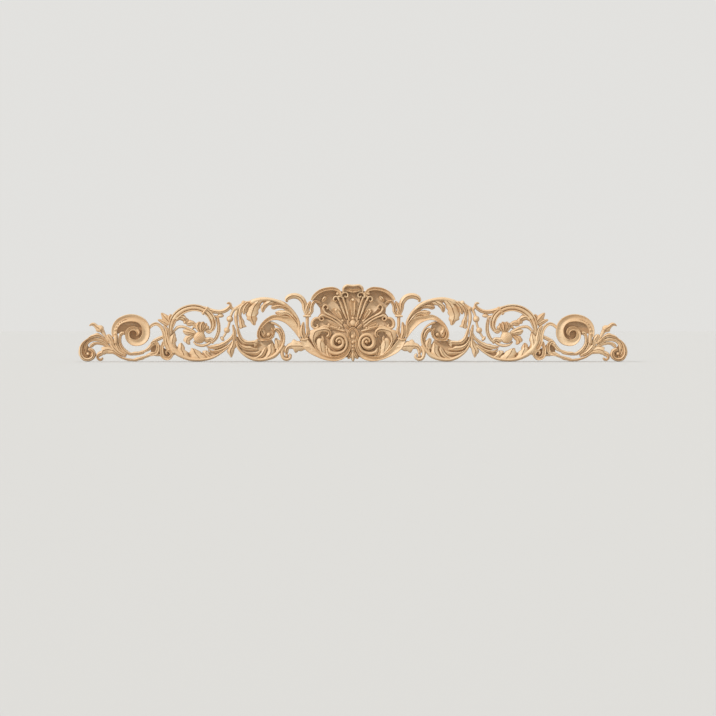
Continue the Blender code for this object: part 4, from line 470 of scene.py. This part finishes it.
    ("outer spiral", gouged, 12, [(481.6, 48), (482.4, 60), (480.4, 71), (474.4, 81.2), (465.2, 88.4),
     (454.4, 92.8), (443, 94.4), (431, 92.6), (420, 87.6), (412, 80.4), (407.2, 71.2), (405.6, 61),
     (406.4, 50.8), (410, 42), (416, 35.6), (424, 31.6), (433, 30.4), (442, 32.2), (449.6, 38),
     (454, 45.2), (455.2, 53.2), (453.2, 61.2), (448, 67.2), (441.2, 69.6), (434, 69.2), (428.2, 65.2),
     (425.8, 58.8), (427.2, 52)], [(470, 49.2), (471.4, 59.2), (469.6, 66), (464.8, 72.4), (458.4, 76.4),
     (450, 78.6), (442, 79.2), (434.8, 78.4), (428.8, 76), (424, 71.6), (421, 65.6), (420.4, 60),
     (421.6, 53.6), (424.4, 48.4), (428.4, 44.8), (432.8, 43.2), (438, 43.6), (442.4, 46), (445.2, 49.6),
     (446.2, 54), (445.4, 58.4), (442.8, 61), (439.6, 61.6), (436.4, 61), (433.6, 58.8), (432, 55.6),
     (432, 52.4), (433.6, 49.6)], [15, 15, 16, 17, 17, 18, 18, 18, 18, 18, 18, 18, 18, 18, 18, 18, 18,
     18, 18.5, 19, 19, 19.5, 20, 20, 20, 20, 20, 19]),
    ("cradle leaf", leafy, 12, [(456, 52.4), (459.2, 52.8), (462, 50), (463, 44), (462.4, 36.8),
     (458.8, 29.6), (452, 22.8), (443.2, 17.6), (436.8, 19.6), (429.2, 19.6), (422.8, 21.6), (416, 23.6),
     (409.2, 30), (403.2, 37.6), (394, 42)], [(456.8, 59.2), (462.8, 59.2), (467.2, 54.4), (468.8, 45.2),
     (468.4, 36), (464.8, 27.2), (459.2, 19.2), (450, 12.8), (438.8, 11.2), (428.8, 12.4), (420.4, 14),
     (414.8, 18.2), (406.8, 21.2), (400, 28.8), (390.8, 34.8)],
     [17, 17, 17, 17, 17, 17, 17, 17, 17, 17, 16, 16, 16, 16, 15]),
    ("under leaf", leafy, 12, [(494, 21), (486, 20.8), (478, 20), (469.2, 13.6), (460, 9.2), (451, 6.8),
     (440, 5.2), (430, 8.4), (420, 10.8), (410, 15.2), (402.8, 20), (397.2, 20)], [(496, 14.8),
     (486, 14.8), (477, 13.6), (466, 6.8), (454, 2), (441, -0.4), (428, 0.8), (416, 4.8), (404, 10.4),
     (398, 10.8), (394, 10.4), (390, 10.4)], [15, 15, 16, 16, 16, 16, 16, 16, 16, 15, 15, 14]),
    ("centre leaf", leafy, 12, [(62, 8), (74, 22), (79, 32.8), (82.4, 39.2), (86.6, 45.2), (89.4, 53.2),
     (87.2, 60.4), (79.2, 64.8), (68, 68.4), (58, 70), (50, 67.6), (44.2, 61.2), (43.2, 54),
     (46.4, 47.6), (51.6, 46.4)], [(54, 14), (68, 26.8), (74, 36), (75.6, 41.2), (72.4, 47.6),
     (66.2, 51.6), (63.6, 56), (60, 57.8), (56.8, 57.6), (54.4, 57.2), (52.2, 57.2), (50.2, 56.8),
     (50, 54), (52, 52), (54, 50)], [16, 17, 18, 19, 19, 19, 19, 19, 19, 20, 21, 21, 21, 21, 20]),
    ("centre lobe", leafy, 11, [(62, 7), (70, 20), (74.4, 30.8), (75.2, 39.2), (72.4, 46), (67.6, 50)],
     [(46, 7), (52.4, 16), (52.8, 22.8), (54, 28.8), (55.2, 33.6), (59.2, 40.8)],
     [14, 16, 17, 17, 17, 15]),
    ("centre lobe 2", leafy, 11, [(54, 8), (54.8, 18.8), (55.2, 27.2), (54.8, 32.8)], [(38, 8.4),
     (45.2, 18), (47.6, 24.8), (50.4, 30.8)], [14, 16, 16, 14]),
    ("husk leaf", leafy, 11, [(238.8, 48.8), (242, 40), (246.8, 30.8), (251.6, 24.4), (252, 19.2),
     (248.8, 14), (244, 7.4)], [(236, 48.4), (234.4, 40), (233.2, 30), (235.2, 24), (237.2, 20.8),
     (238.4, 15.2), (242.4, 7.4)], [16, 17, 18, 18, 18, 17, 15]),
]

# name, place, radius, height of the top and of the edge; for an oval one squash and turn in degrees
DOMES = [
    ("arch eye", (30.4, 135.2), 4, 22, 8),
    ("dart tip", (0, 122.4), 4.2, 19, 12),
    ("dart tip 2", (33.6, 102.4), 3, 17, 12),
    ("dart tip 3", (48, 73), 3, 17, 12),
    ("bead a", (0, 86), 3.4, 16, 12),
    ("bead b", (20.8, 81.2), 2.6, 15, 12),
    ("bead c", (27.2, 66.4), 2.4, 15, 12),
    ("shell base", (0, 76.4), 6.4, 16, 12),
    ("bead", (0, 49.2), 4.6, 22, 14),
    ("bead", (0, 38), 3.6, 22, 14),
    ("bead", (0, 29.8), 3, 22, 14),
    ("bead", (0, 23.2), 2.5, 22, 14),
    ("volute eye", (27, 38.8), 4.2, 25, 15),
    ("berry", (218.4, 117), 4.6, 18, 10),
    ("berry", (233.6, 105.4), 4.2, 18, 10),
    ("berry", (246.2, 84.4), 6.6, 20, 10),
    ("berry", (252, 62), 6, 19, 10),
    ("drop", (261.2, 45.2), 5.4, 16, 10, 0.6, 52),
    ("bud", (264.8, 91.2), 6.6, 16, 10, 0.62, 0),
    ("flower low", (306.8, 47.4), 12, 21, 11),
    ("eye 3", (168.4, 53.2), 4.4, 20, 8),
    ("foot eye", (132.4, 11.2), 3.8, 21, 8),
    ("end eye", (529.2, 14.8), 3.8, 20, 8),
    ("end bud", (502.8, 64.8), 4, 20, 13),
    ("channel bead", (475.2, 54.8), 3, 17, 10),
    ("channel bead", (474.2, 63), 3.6, 17, 10),
    ("channel bead", (472.2, 69.6), 2.6, 17, 10),
    ("channel bead", (469.2, 74.6), 2.4, 17, 10),
    ("channel bead", (465.4, 78.2), 2, 17, 10),
    ("channel bead", (461.4, 80.8), 1.8, 17, 10),
    ("flower top", (302.2, 69.2), 9.6, 16, 11),
    ("band eye", (291.2, 67.4), 4, 19, 12),
]


def smooth(knots, count):
    """Catmull-Rom curve through the knots."""
    k = np.asarray(knots, float)
    if k.ndim == 1:
        k = k[:, None]
    ends = np.vstack([2 * k[0] - k[1], k, 2 * k[-1] - k[-2]])
    t = np.linspace(0, len(k) - 1, count)
    i = np.clip(t.astype(int), 0, len(k) - 2)
    f = (t - i)[:, None]
    a, b, c, d = ends[i], ends[i + 1], ends[i + 2], ends[i + 3]
    square, cube = 2 * a - 5 * b + 4 * c - d, 3 * b - a - 3 * c + d
    return 0.5 * (2 * b + (c - a) * f + square * f**2 + cube * f**3)


def centre_line(knots):
    """Fine points along a stroke, with the heading, curvature, measure and length at each.

    The measure grows by one for each facet that is wanted, so it runs faster where the stroke bends.
    """
    fine = smooth(knots, FINE_STEPS * len(knots))
    legs = np.diff(fine, axis=0)
    size = np.linalg.norm(legs, axis=1)
    heading = np.unwrap(np.arctan2(legs[:, 1], legs[:, 0]))
    bend = np.diff(heading, append=heading[-1])
    padded = np.pad(bend / size, CURVE_WINDOW // 2, "edge")
    curve = np.convolve(padded, np.ones(CURVE_WINDOW) / CURVE_WINDOW, "valid")
    measure = np.r_[0, np.cumsum(size / RUN_STEP + np.abs(bend) / BEND_STEP)]
    length = np.r_[0, np.cumsum(size)]
    return fine, np.r_[heading, heading[-1]], np.r_[curve, curve[-1]], measure, length


def read_at(ticks, measure, line):
    """Points of a line at the given steps of its measure."""
    return np.stack([np.interp(ticks, measure, line[:, i]) for i in (0, 1)], 1)


def stations(measure, length, nose):
    """Even steps of the measure, and a few more over the rounded nose at the tip."""
    ticks = np.linspace(0, measure[-1], max(FEWEST_TICKS, math.ceil(measure[-1]) + 1))
    first = np.interp(length[-1] - nose, length, measure)
    steps = 1 - np.cos(np.linspace(0, math.pi / 2, NOSE_STEPS + 1))
    rounded_end = np.interp(length[-1] - nose * steps[::-1], length, measure)
    return np.r_[ticks[ticks < first - NOSE_GAP], rounded_end]


def nose_share(length, nose):
    """How full a stroke is near its tip: 1 before the nose, then down a quarter round to the tip."""
    left = np.clip((length[-1] - length) / nose, 0, 1)
    return np.sqrt(np.maximum(1 - (1 - left) ** 2, NOSE_END))


def along(values, share):
    """Values given evenly along a stroke, read at the shares of its length."""
    fine = smooth(values, FINE_VALUES)[:, 0]
    return np.interp(share, np.linspace(0, 1, FINE_VALUES), fine)


def place(out, up, height):
    """A point of the carving: out and up on the board, height above its back, in mm."""
    return Vector((out * MM, -height * MM, (up - HEIGHT / 2) * MM))


def only(piece):
    """Selects one object alone and makes it active."""
    bpy.ops.object.select_all(action="DESELECT")
    bpy.context.view_layer.objects.active = piece
    piece.select_set(True)


def thicken(piece):
    """Extrudes a front sheet straight back into a closed solid."""
    only(piece)
    bpy.ops.object.mode_set(mode="EDIT")
    bpy.ops.mesh.select_all(action="SELECT")
    bpy.ops.mesh.extrude_region_move()
    bpy.ops.transform.resize(value=(1, 0, 1), center_override=(0, BACK_OVERRUN * MM, 0))
    bpy.ops.mesh.select_all(action="SELECT")
    bpy.ops.mesh.normals_make_consistent(inside=False)
    bpy.ops.object.mode_set(mode="OBJECT")
    return piece


def sheet(name, rows, columns):
    """A flat grid, to be laid out as the front of a stroke or a leaf."""
    bpy.ops.mesh.primitive_grid_add(x_subdivisions=rows - 1, y_subdivisions=columns - 1, size=2)
    piece = bpy.context.object
    piece.name = name.replace(" ", "_")
    return piece


def grid_places(piece, rows, columns):
    """Each vertex of a grid with its row and its column."""
    for vert in piece.data.vertices:
        yield vert, round((vert.co.x + 1) / 2 * (rows - 1)), round((vert.co.y + 1) / 2 * (columns - 1))


def stroke(name, section, edge, spine, halves, crests):
    """A band or leaf swept along its spine, with its width and crest changing on the way."""
    line, heading, bending, measure, length = centre_line(spine)
    nose = min(max(halves[-1], THINNEST), length[-1] / 2)
    ticks = stations(measure, length, nose)
    full = np.interp(ticks, measure, nose_share(length, nose))
    share = np.interp(ticks, measure, length / length[-1])
    points = read_at(ticks, measure, line)
    turn, curve = [np.interp(ticks, measure, values) for values in (heading, bending)]
    half = np.maximum(along(halves, share) * full, THINNEST)
    rise_by = (along(crests, share) - edge) * full
    rows, columns = len(points), len(section(1.0)[0])
    piece = sheet(name, rows, columns)
    for vert, i, j in grid_places(piece, rows, columns):
        across, rise = section(half[i])
        inside = curve[i] * across[j] > 0
        reach = across[j] * (min(half[i], INNER_SHARE / abs(curve[i])) if inside else half[i])
        out = points[i][0] - math.sin(turn[i]) * reach
        up = points[i][1] + math.cos(turn[i]) * reach
        vert.co = place(out, up, edge + rise_by[i] * rise[j])
    return thicken(piece)


def scallops(length, half):
    """Share of the half width by which a leaf's edge is cut back between its rounded teeth.

    It falls to nothing where the leaf is narrow.
    """
    dip = 1 - np.abs(np.sin(math.pi * length / TOOTH_LENGTH))
    return TOOTH_DEPTH * dip * np.clip((half - NARROW_LEAF) / NARROW_LEAF, 0, 1)


def leaf(name, section, edge, left, right, crests):
    """A leaf or band laid between its two edges, whose knots lie opposite each other."""
    lines, _, _, measures, lengths = zip(*[centre_line(knots) for knots in (left, right)])
    measure = (measures[0] + measures[1]) / 2
    length = (lengths[0] + lengths[1]) / 2
    nose = min(max(math.dist(left[-1], right[-1]) / 2, THINNEST), length[-1] / 2)
    ticks = stations(measure, length, nose)
    full = np.interp(ticks, measure, nose_share(length, nose))
    first, last = [read_at(ticks, measure, line) for line in lines]
    rise_by = (np.interp(ticks, measure, smooth(crests, len(measure))[:, 0]) - edge) * full
    middle, across = (first + last) / 2, (last - first) / 2
    width = np.linalg.norm(across, axis=1)
    half = np.maximum(width * full, THINNEST)
    across = across * (half / np.maximum(width, SMALL))[:, None]
    cut = scallops(np.interp(ticks, measure, length), half) if section is leafy else np.zeros(len(half))
    rows, columns = len(ticks), len(section(1.0)[0])
    piece = sheet(name, rows, columns)
    for vert, i, j in grid_places(piece, rows, columns):
        side, rise = section(half[i])
        outer = max(0, abs(side[j]) - PLAIN_SHARE) / (1 - PLAIN_SHARE)
        out, up = middle[i] + across[i] * side[j] * (1 - cut[i] * outer)
        vert.co = place(out, up, edge + rise_by[i] * rise[j])
    return thicken(piece)


def berry(name, at, radius, top, edge, squash=1.0, turn=0):
    """A domed berry on straight walls, longer one way where it is squashed."""
    bpy.ops.mesh.primitive_uv_sphere_add(segments=BERRY_SIDES, ring_count=BERRY_RINGS, radius=1)
    piece = bpy.context.object
    piece.name = name.replace(" ", "_")
    tilt = math.radians(turn)
    for vert in piece.data.vertices:
        x, y, rise = vert.co
        if rise < -SMALL:
            rim = 1 / max(math.hypot(x, y), SMALL) if rise > SMALL - 1 else 0
            x, y = x * rim, y * rim
        out = radius * (x * math.cos(tilt) - y * squash * math.sin(tilt))
        up = radius * (x * math.sin(tilt) + y * squash * math.cos(tilt))
        height = edge + (top - edge) * rise if rise >= -SMALL else -BACK_OVERRUN
        vert.co = place(at[0] + out, at[1] + up, height)
    only(piece)
    bpy.ops.object.mode_set(mode="EDIT")
    bpy.ops.mesh.select_all(action="SELECT")
    bpy.ops.mesh.remove_doubles(threshold=WELD)
    bpy.ops.mesh.normals_make_consistent(inside=False)
    bpy.ops.object.mode_set(mode="OBJECT")
    return piece


def ground(name, height, outline):
    """A sunk flat ground behind the carving."""
    mesh = bpy.data.meshes.new(name.replace(" ", "_"))
    mesh.from_pydata([place(out, up, height) for out, up in outline], [], [list(range(len(outline)))])
    piece = bpy.data.objects.new(mesh.name, mesh)
    bpy.context.scene.collection.objects.link(piece)
    return thicken(piece)


def combine(base, other, operation):
    """Boolean of two closed solids; the other one is used up."""
    step = base.modifiers.new(operation.lower(), "BOOLEAN")
    step.operation = operation
    step.object = other
    step.solver = "MANIFOLD"
    only(base)
    bpy.ops.object.modifier_apply(modifier=step.name)
    bpy.data.objects.remove(other, do_unlink=True)
    return base


def united(pieces):
    """All the pieces as one solid, joined two by two so that each join stays small."""
    while len(pieces) > 1:
        pairs = [combine(a, b, "UNION") for a, b in zip(pieces[::2], pieces[1::2])]
        pieces = pairs + pieces[len(pairs) * 2:]
    return pieces[0]


def mirrored(piece):
    """A copy of a piece on the other side of the middle line."""
    twin = piece.copy()
    twin.data = piece.data.copy()
    twin.data.transform(Matrix.Scale(-1, 4, (1, 0, 0)))
    twin.data.flip_normals()
    bpy.context.scene.collection.objects.link(twin)
    return twin


def on_middle(knots):
    """True for a piece drawn on the middle line itself."""
    return all(out == 0 for out, up in knots)


def linear(code):
    """An sRGB hex colour as linear RGBA."""
    parts = [int(code[i:i + 2], 16) / 255 for i in (0, 2, 4)]
    return [c / 12.92 if c <= 0.04045 else ((c + 0.055) / 1.055) ** 2.4 for c in parts] + [1.0]


def node(tree, kind, settings=None, **links):
    """Adds a shader node with its settings, socket values and links from other nodes' outputs."""
    made = tree.nodes.new(kind)
    for name, value in (settings or {}).items():
        setattr(made, name, value)
    for name, value in links.items():
        numbered = name[0] == "i" and name[1:].isdigit()
        socket = made.inputs[int(name[1:]) if numbered else name.replace("_", " ")]
        if isinstance(value, bpy.types.NodeSocket):
            tree.links.new(value, socket)
        else:
            socket.default_value = value
    return made


def noise(tree, at, stretch, detail):
    """Noise with its own scale along each axis."""
    spread = node(tree, "ShaderNodeMapping", Vector=at, Scale=stretch)
    return node(tree, "ShaderNodeTexNoise", Vector=spread.outputs[0], Scale=1.0, Detail=detail)


def ranged(tree, value, low, high, start, end, curve="LINEAR"):
    """The output that runs from start to end while the value runs from low to high."""
    made = node(tree, "ShaderNodeMapRange", {"interpolation_type": curve}, Value=value,
                i1=low, i2=high, i3=start, i4=end)
    return made.outputs[0]


def blended(tree, share, first, second):
    """The output that goes from the first colour to the second as the share goes from 0 to 1."""
    return node(tree, "ShaderNodeMix", {"data_type": "RGBA"}, i0=share, i6=first, i7=second).outputs[2]


def bare_beech():
    """Beech, carved by hand and left bare: pale pinkish tan, fine grain along the board, matt.

    Short darker flecks lie along the grain; real ones are 1 to 3 mm long and too fine to show,
    so they are drawn three times as coarse. The floors of the cuts are painted a little darker
    than the crests: painted shade in the recesses, standing in for the shadow there.
    """
    mat = bpy.data.materials.new("bare_beech")
    mat.use_nodes = True
    tree = mat.node_tree
    shader = tree.nodes["Principled BSDF"]
    at = node(tree, "ShaderNodeTexCoord").outputs["Object"]
    # growth rings: long along X, about 14 mm apart as on a flat-sawn face, wandering by up to 10 mm
    drift = noise(tree, at, (3, 14, 14), 2.0)
    bent = node(tree, "ShaderNodeVectorMath", {"operation": "MULTIPLY_ADD"}, i0=drift.outputs["Color"],
                i1=(0.0, 0.03, 0.03), i2=at)
    trunk = node(tree, "ShaderNodeMapping", Vector=bent.outputs[0], Location=(0, -0.16, 0.03),
                 Scale=(0.06, 1, 1))
    rings = node(tree, "ShaderNodeTexWave",
                 {"wave_type": "RINGS", "rings_direction": "X", "wave_profile": "SAW"},
                 Vector=trunk.outputs[0], Scale=22.0, Distortion=1.2, Detail=2.0, Detail_Scale=1.4)
    pores = noise(tree, at, (110, 1500, 1500), 2.0).outputs["Fac"]
    flecks = noise(tree, at, (120, 620, 620), 1.0).outputs["Fac"]
    broad = noise(tree, at, (5, 22, 22), 3.0).outputs["Fac"]
    # colour: pale and darker wood of a ring, broad patches, flecks
    ringed = blended(tree, rings.outputs["Fac"], linear("dfc5a0"), linear("c7a176"))
    patched = blended(tree, ranged(tree, broad, 0.3, 0.7, 0.0, 0.42), ringed, linear("d2b08a"))
    flecked = blended(tree, ranged(tree, flecks, 0.60, 0.72, 0.0, 0.55), patched, linear("ab8457"))
    # painted shade: the colour darkens towards the grounds and stays pale at the crests, by the depth of
    # the cut
    depth = node(tree, "ShaderNodeSeparateXYZ", i0=at).outputs["Y"]
    low = ranged(tree, depth, -0.0155, -0.0075, 0.0, 0.5, "SMOOTHSTEP")
    # mixing towards dark brown by depth is painted shade in the recesses
    tree.links.new(blended(tree, low, flecked, linear("8f6b48")), shader.inputs["Base Color"])
    tree.links.new(ranged(tree, pores, 0.3, 0.7, 0.5, 0.68), shader.inputs["Roughness"])
    # surface: open pores, and the faint facets that a chisel leaves
    chisel = node(tree, "ShaderNodeTexNoise", Vector=at, Scale=260.0, Detail=1.0)
    fine = node(tree, "ShaderNodeBump", Strength=0.18, Distance=0.0004, Height=pores)
    cuts = node(tree, "ShaderNodeBump", Strength=0.22, Distance=0.0012, Height=chisel.outputs["Fac"],
                Normal=fine.outputs[0])
    tree.links.new(cuts.outputs[0], shader.inputs["Normal"])
    return mat


def plain(name, tone, roughness):
    """A plain matt finish for the floor, of one linear tone a little warmer than grey."""
    mat = bpy.data.materials.new(name)
    mat.use_nodes = True
    shader = mat.node_tree.nodes["Principled BSDF"]
    shader.inputs["Base Color"].default_value = [tone * warm for warm in FLOOR_WARMTH] + [1.0]
    shader.inputs["Roughness"].default_value = roughness
    return mat


def sunlight(name, towards, strength, spread):
    """A soft far light from a direction; returns what it adds to a level floor's irradiance."""
    light = bpy.data.lights.new(name, "SUN")
    light.energy = strength
    light.angle = spread
    thing = bpy.data.objects.new(name, light)
    way = Vector(towards).normalized()
    thing.location = way * LIGHT_DISTANCE
    thing.rotation_euler = way.to_track_quat("Z", "Y").to_euler()
    bpy.context.scene.collection.objects.link(thing)
    return strength * way.z


side, middle = [], []
for name, height, outline in GROUNDS:
    side.append(ground(name, height, outline))
for name, section, edge, spine, halves, crests in STROKES:
    (middle if on_middle(spine) else side).append(stroke(name, section, edge, spine, halves, crests))
for name, section, edge, left, right, crests in LEAVES:
    side.append(leaf(name, section, edge, left, right, crests))
for name, at, *shape in DOMES:
    (middle if on_middle([at]) else side).append(berry(name, at, *shape))

for row in range(-SEED_ROWS, SEED_ROWS + 1):
    for column in range(-SEED_ROWS, SEED_ROWS + 1):
        at = (SEEDS_AT[0] + (row + column) * SEED_GAP, SEEDS_AT[1] + (row - column) * SEED_GAP)
        top = SEED_TOP - SEED_FALL * math.dist(at, SEEDS_AT) ** 2
        side.append(berry(f"seed {row} {column}", at, SEED_RADIUS, top, SEED_EDGE))

half_board = united(side)
board = combine(half_board, mirrored(half_board), "UNION")
for piece in middle:
    combine(board, piece, "UNION")
bpy.ops.mesh.primitive_cube_add(size=1)
back = bpy.context.object
back.scale = (CUTTER[0], 2 * BACK_OVERRUN * MM, CUTTER[1])
back.location = (0, BACK_OVERRUN * MM, 0)
combine(board, back, "DIFFERENCE")
board.name = "carving"
board.data.name = "carving"
board.data.materials.clear()
board.data.materials.append(bare_beech())
only(board)
bpy.ops.object.shade_smooth_by_angle(angle=SOFT_EDGE)

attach(board, "root")
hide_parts("carved_applique")

# light: a soft key raking down from the left, two weaker ones, and pale surroundings
level = sunlight("key", (-0.72, -0.52, 0.62), KEY, KEY_SPREAD)
level += sunlight("fill", (0.7, -0.8, 0.25), FILL, SOFT_SPREAD)
level += sunlight("rear", (0.5, 0.8, 0.6), REAR, SOFT_SPREAD)
world = bpy.data.worlds.new("pale_studio")
bpy.context.scene.world = world
world.use_nodes = True
world.node_tree.nodes["Background"].inputs["Color"].default_value = linear("f2f1ee")
world.node_tree.nodes["Background"].inputs["Strength"].default_value = SURROUND
bpy.context.scene.view_settings.view_transform = "Standard"

# floor, just under the lowest scrolls; its tone makes it as bright as the surroundings behind it
bpy.ops.mesh.primitive_plane_add(size=FLOOR_SIZE, location=(0, 0, cad_box[0].z - FLOOR_GAP))
floor = bpy.context.object
floor.name = "floor"
floor.data.materials.append(plain("pale_floor", SURROUND / (SURROUND + level / math.pi), 1.0))

# camera straight in front, far off with a long lens, as in the measured drawing;
# the object sits above and slightly left of the middle of the frame
FRAME_WIDTH = DRAWING_SIDE * PIXEL * MM
camera = bpy.data.cameras.new("camera")
camera.lens = LENS
camera.sensor_width = SENSOR
eye = bpy.data.objects.new("camera", camera)
eye.location = (0, -FRAME_WIDTH * LENS / SENSOR, 0)
eye.rotation_euler = (math.radians(90), 0, 0)
camera.shift_x = ASIDE / DRAWING_SIDE
camera.shift_y = -ABOVE / DRAWING_SIDE
camera.clip_end = FLOOR_SIZE
bpy.context.scene.collection.objects.link(eye)
bpy.context.scene.camera = eye
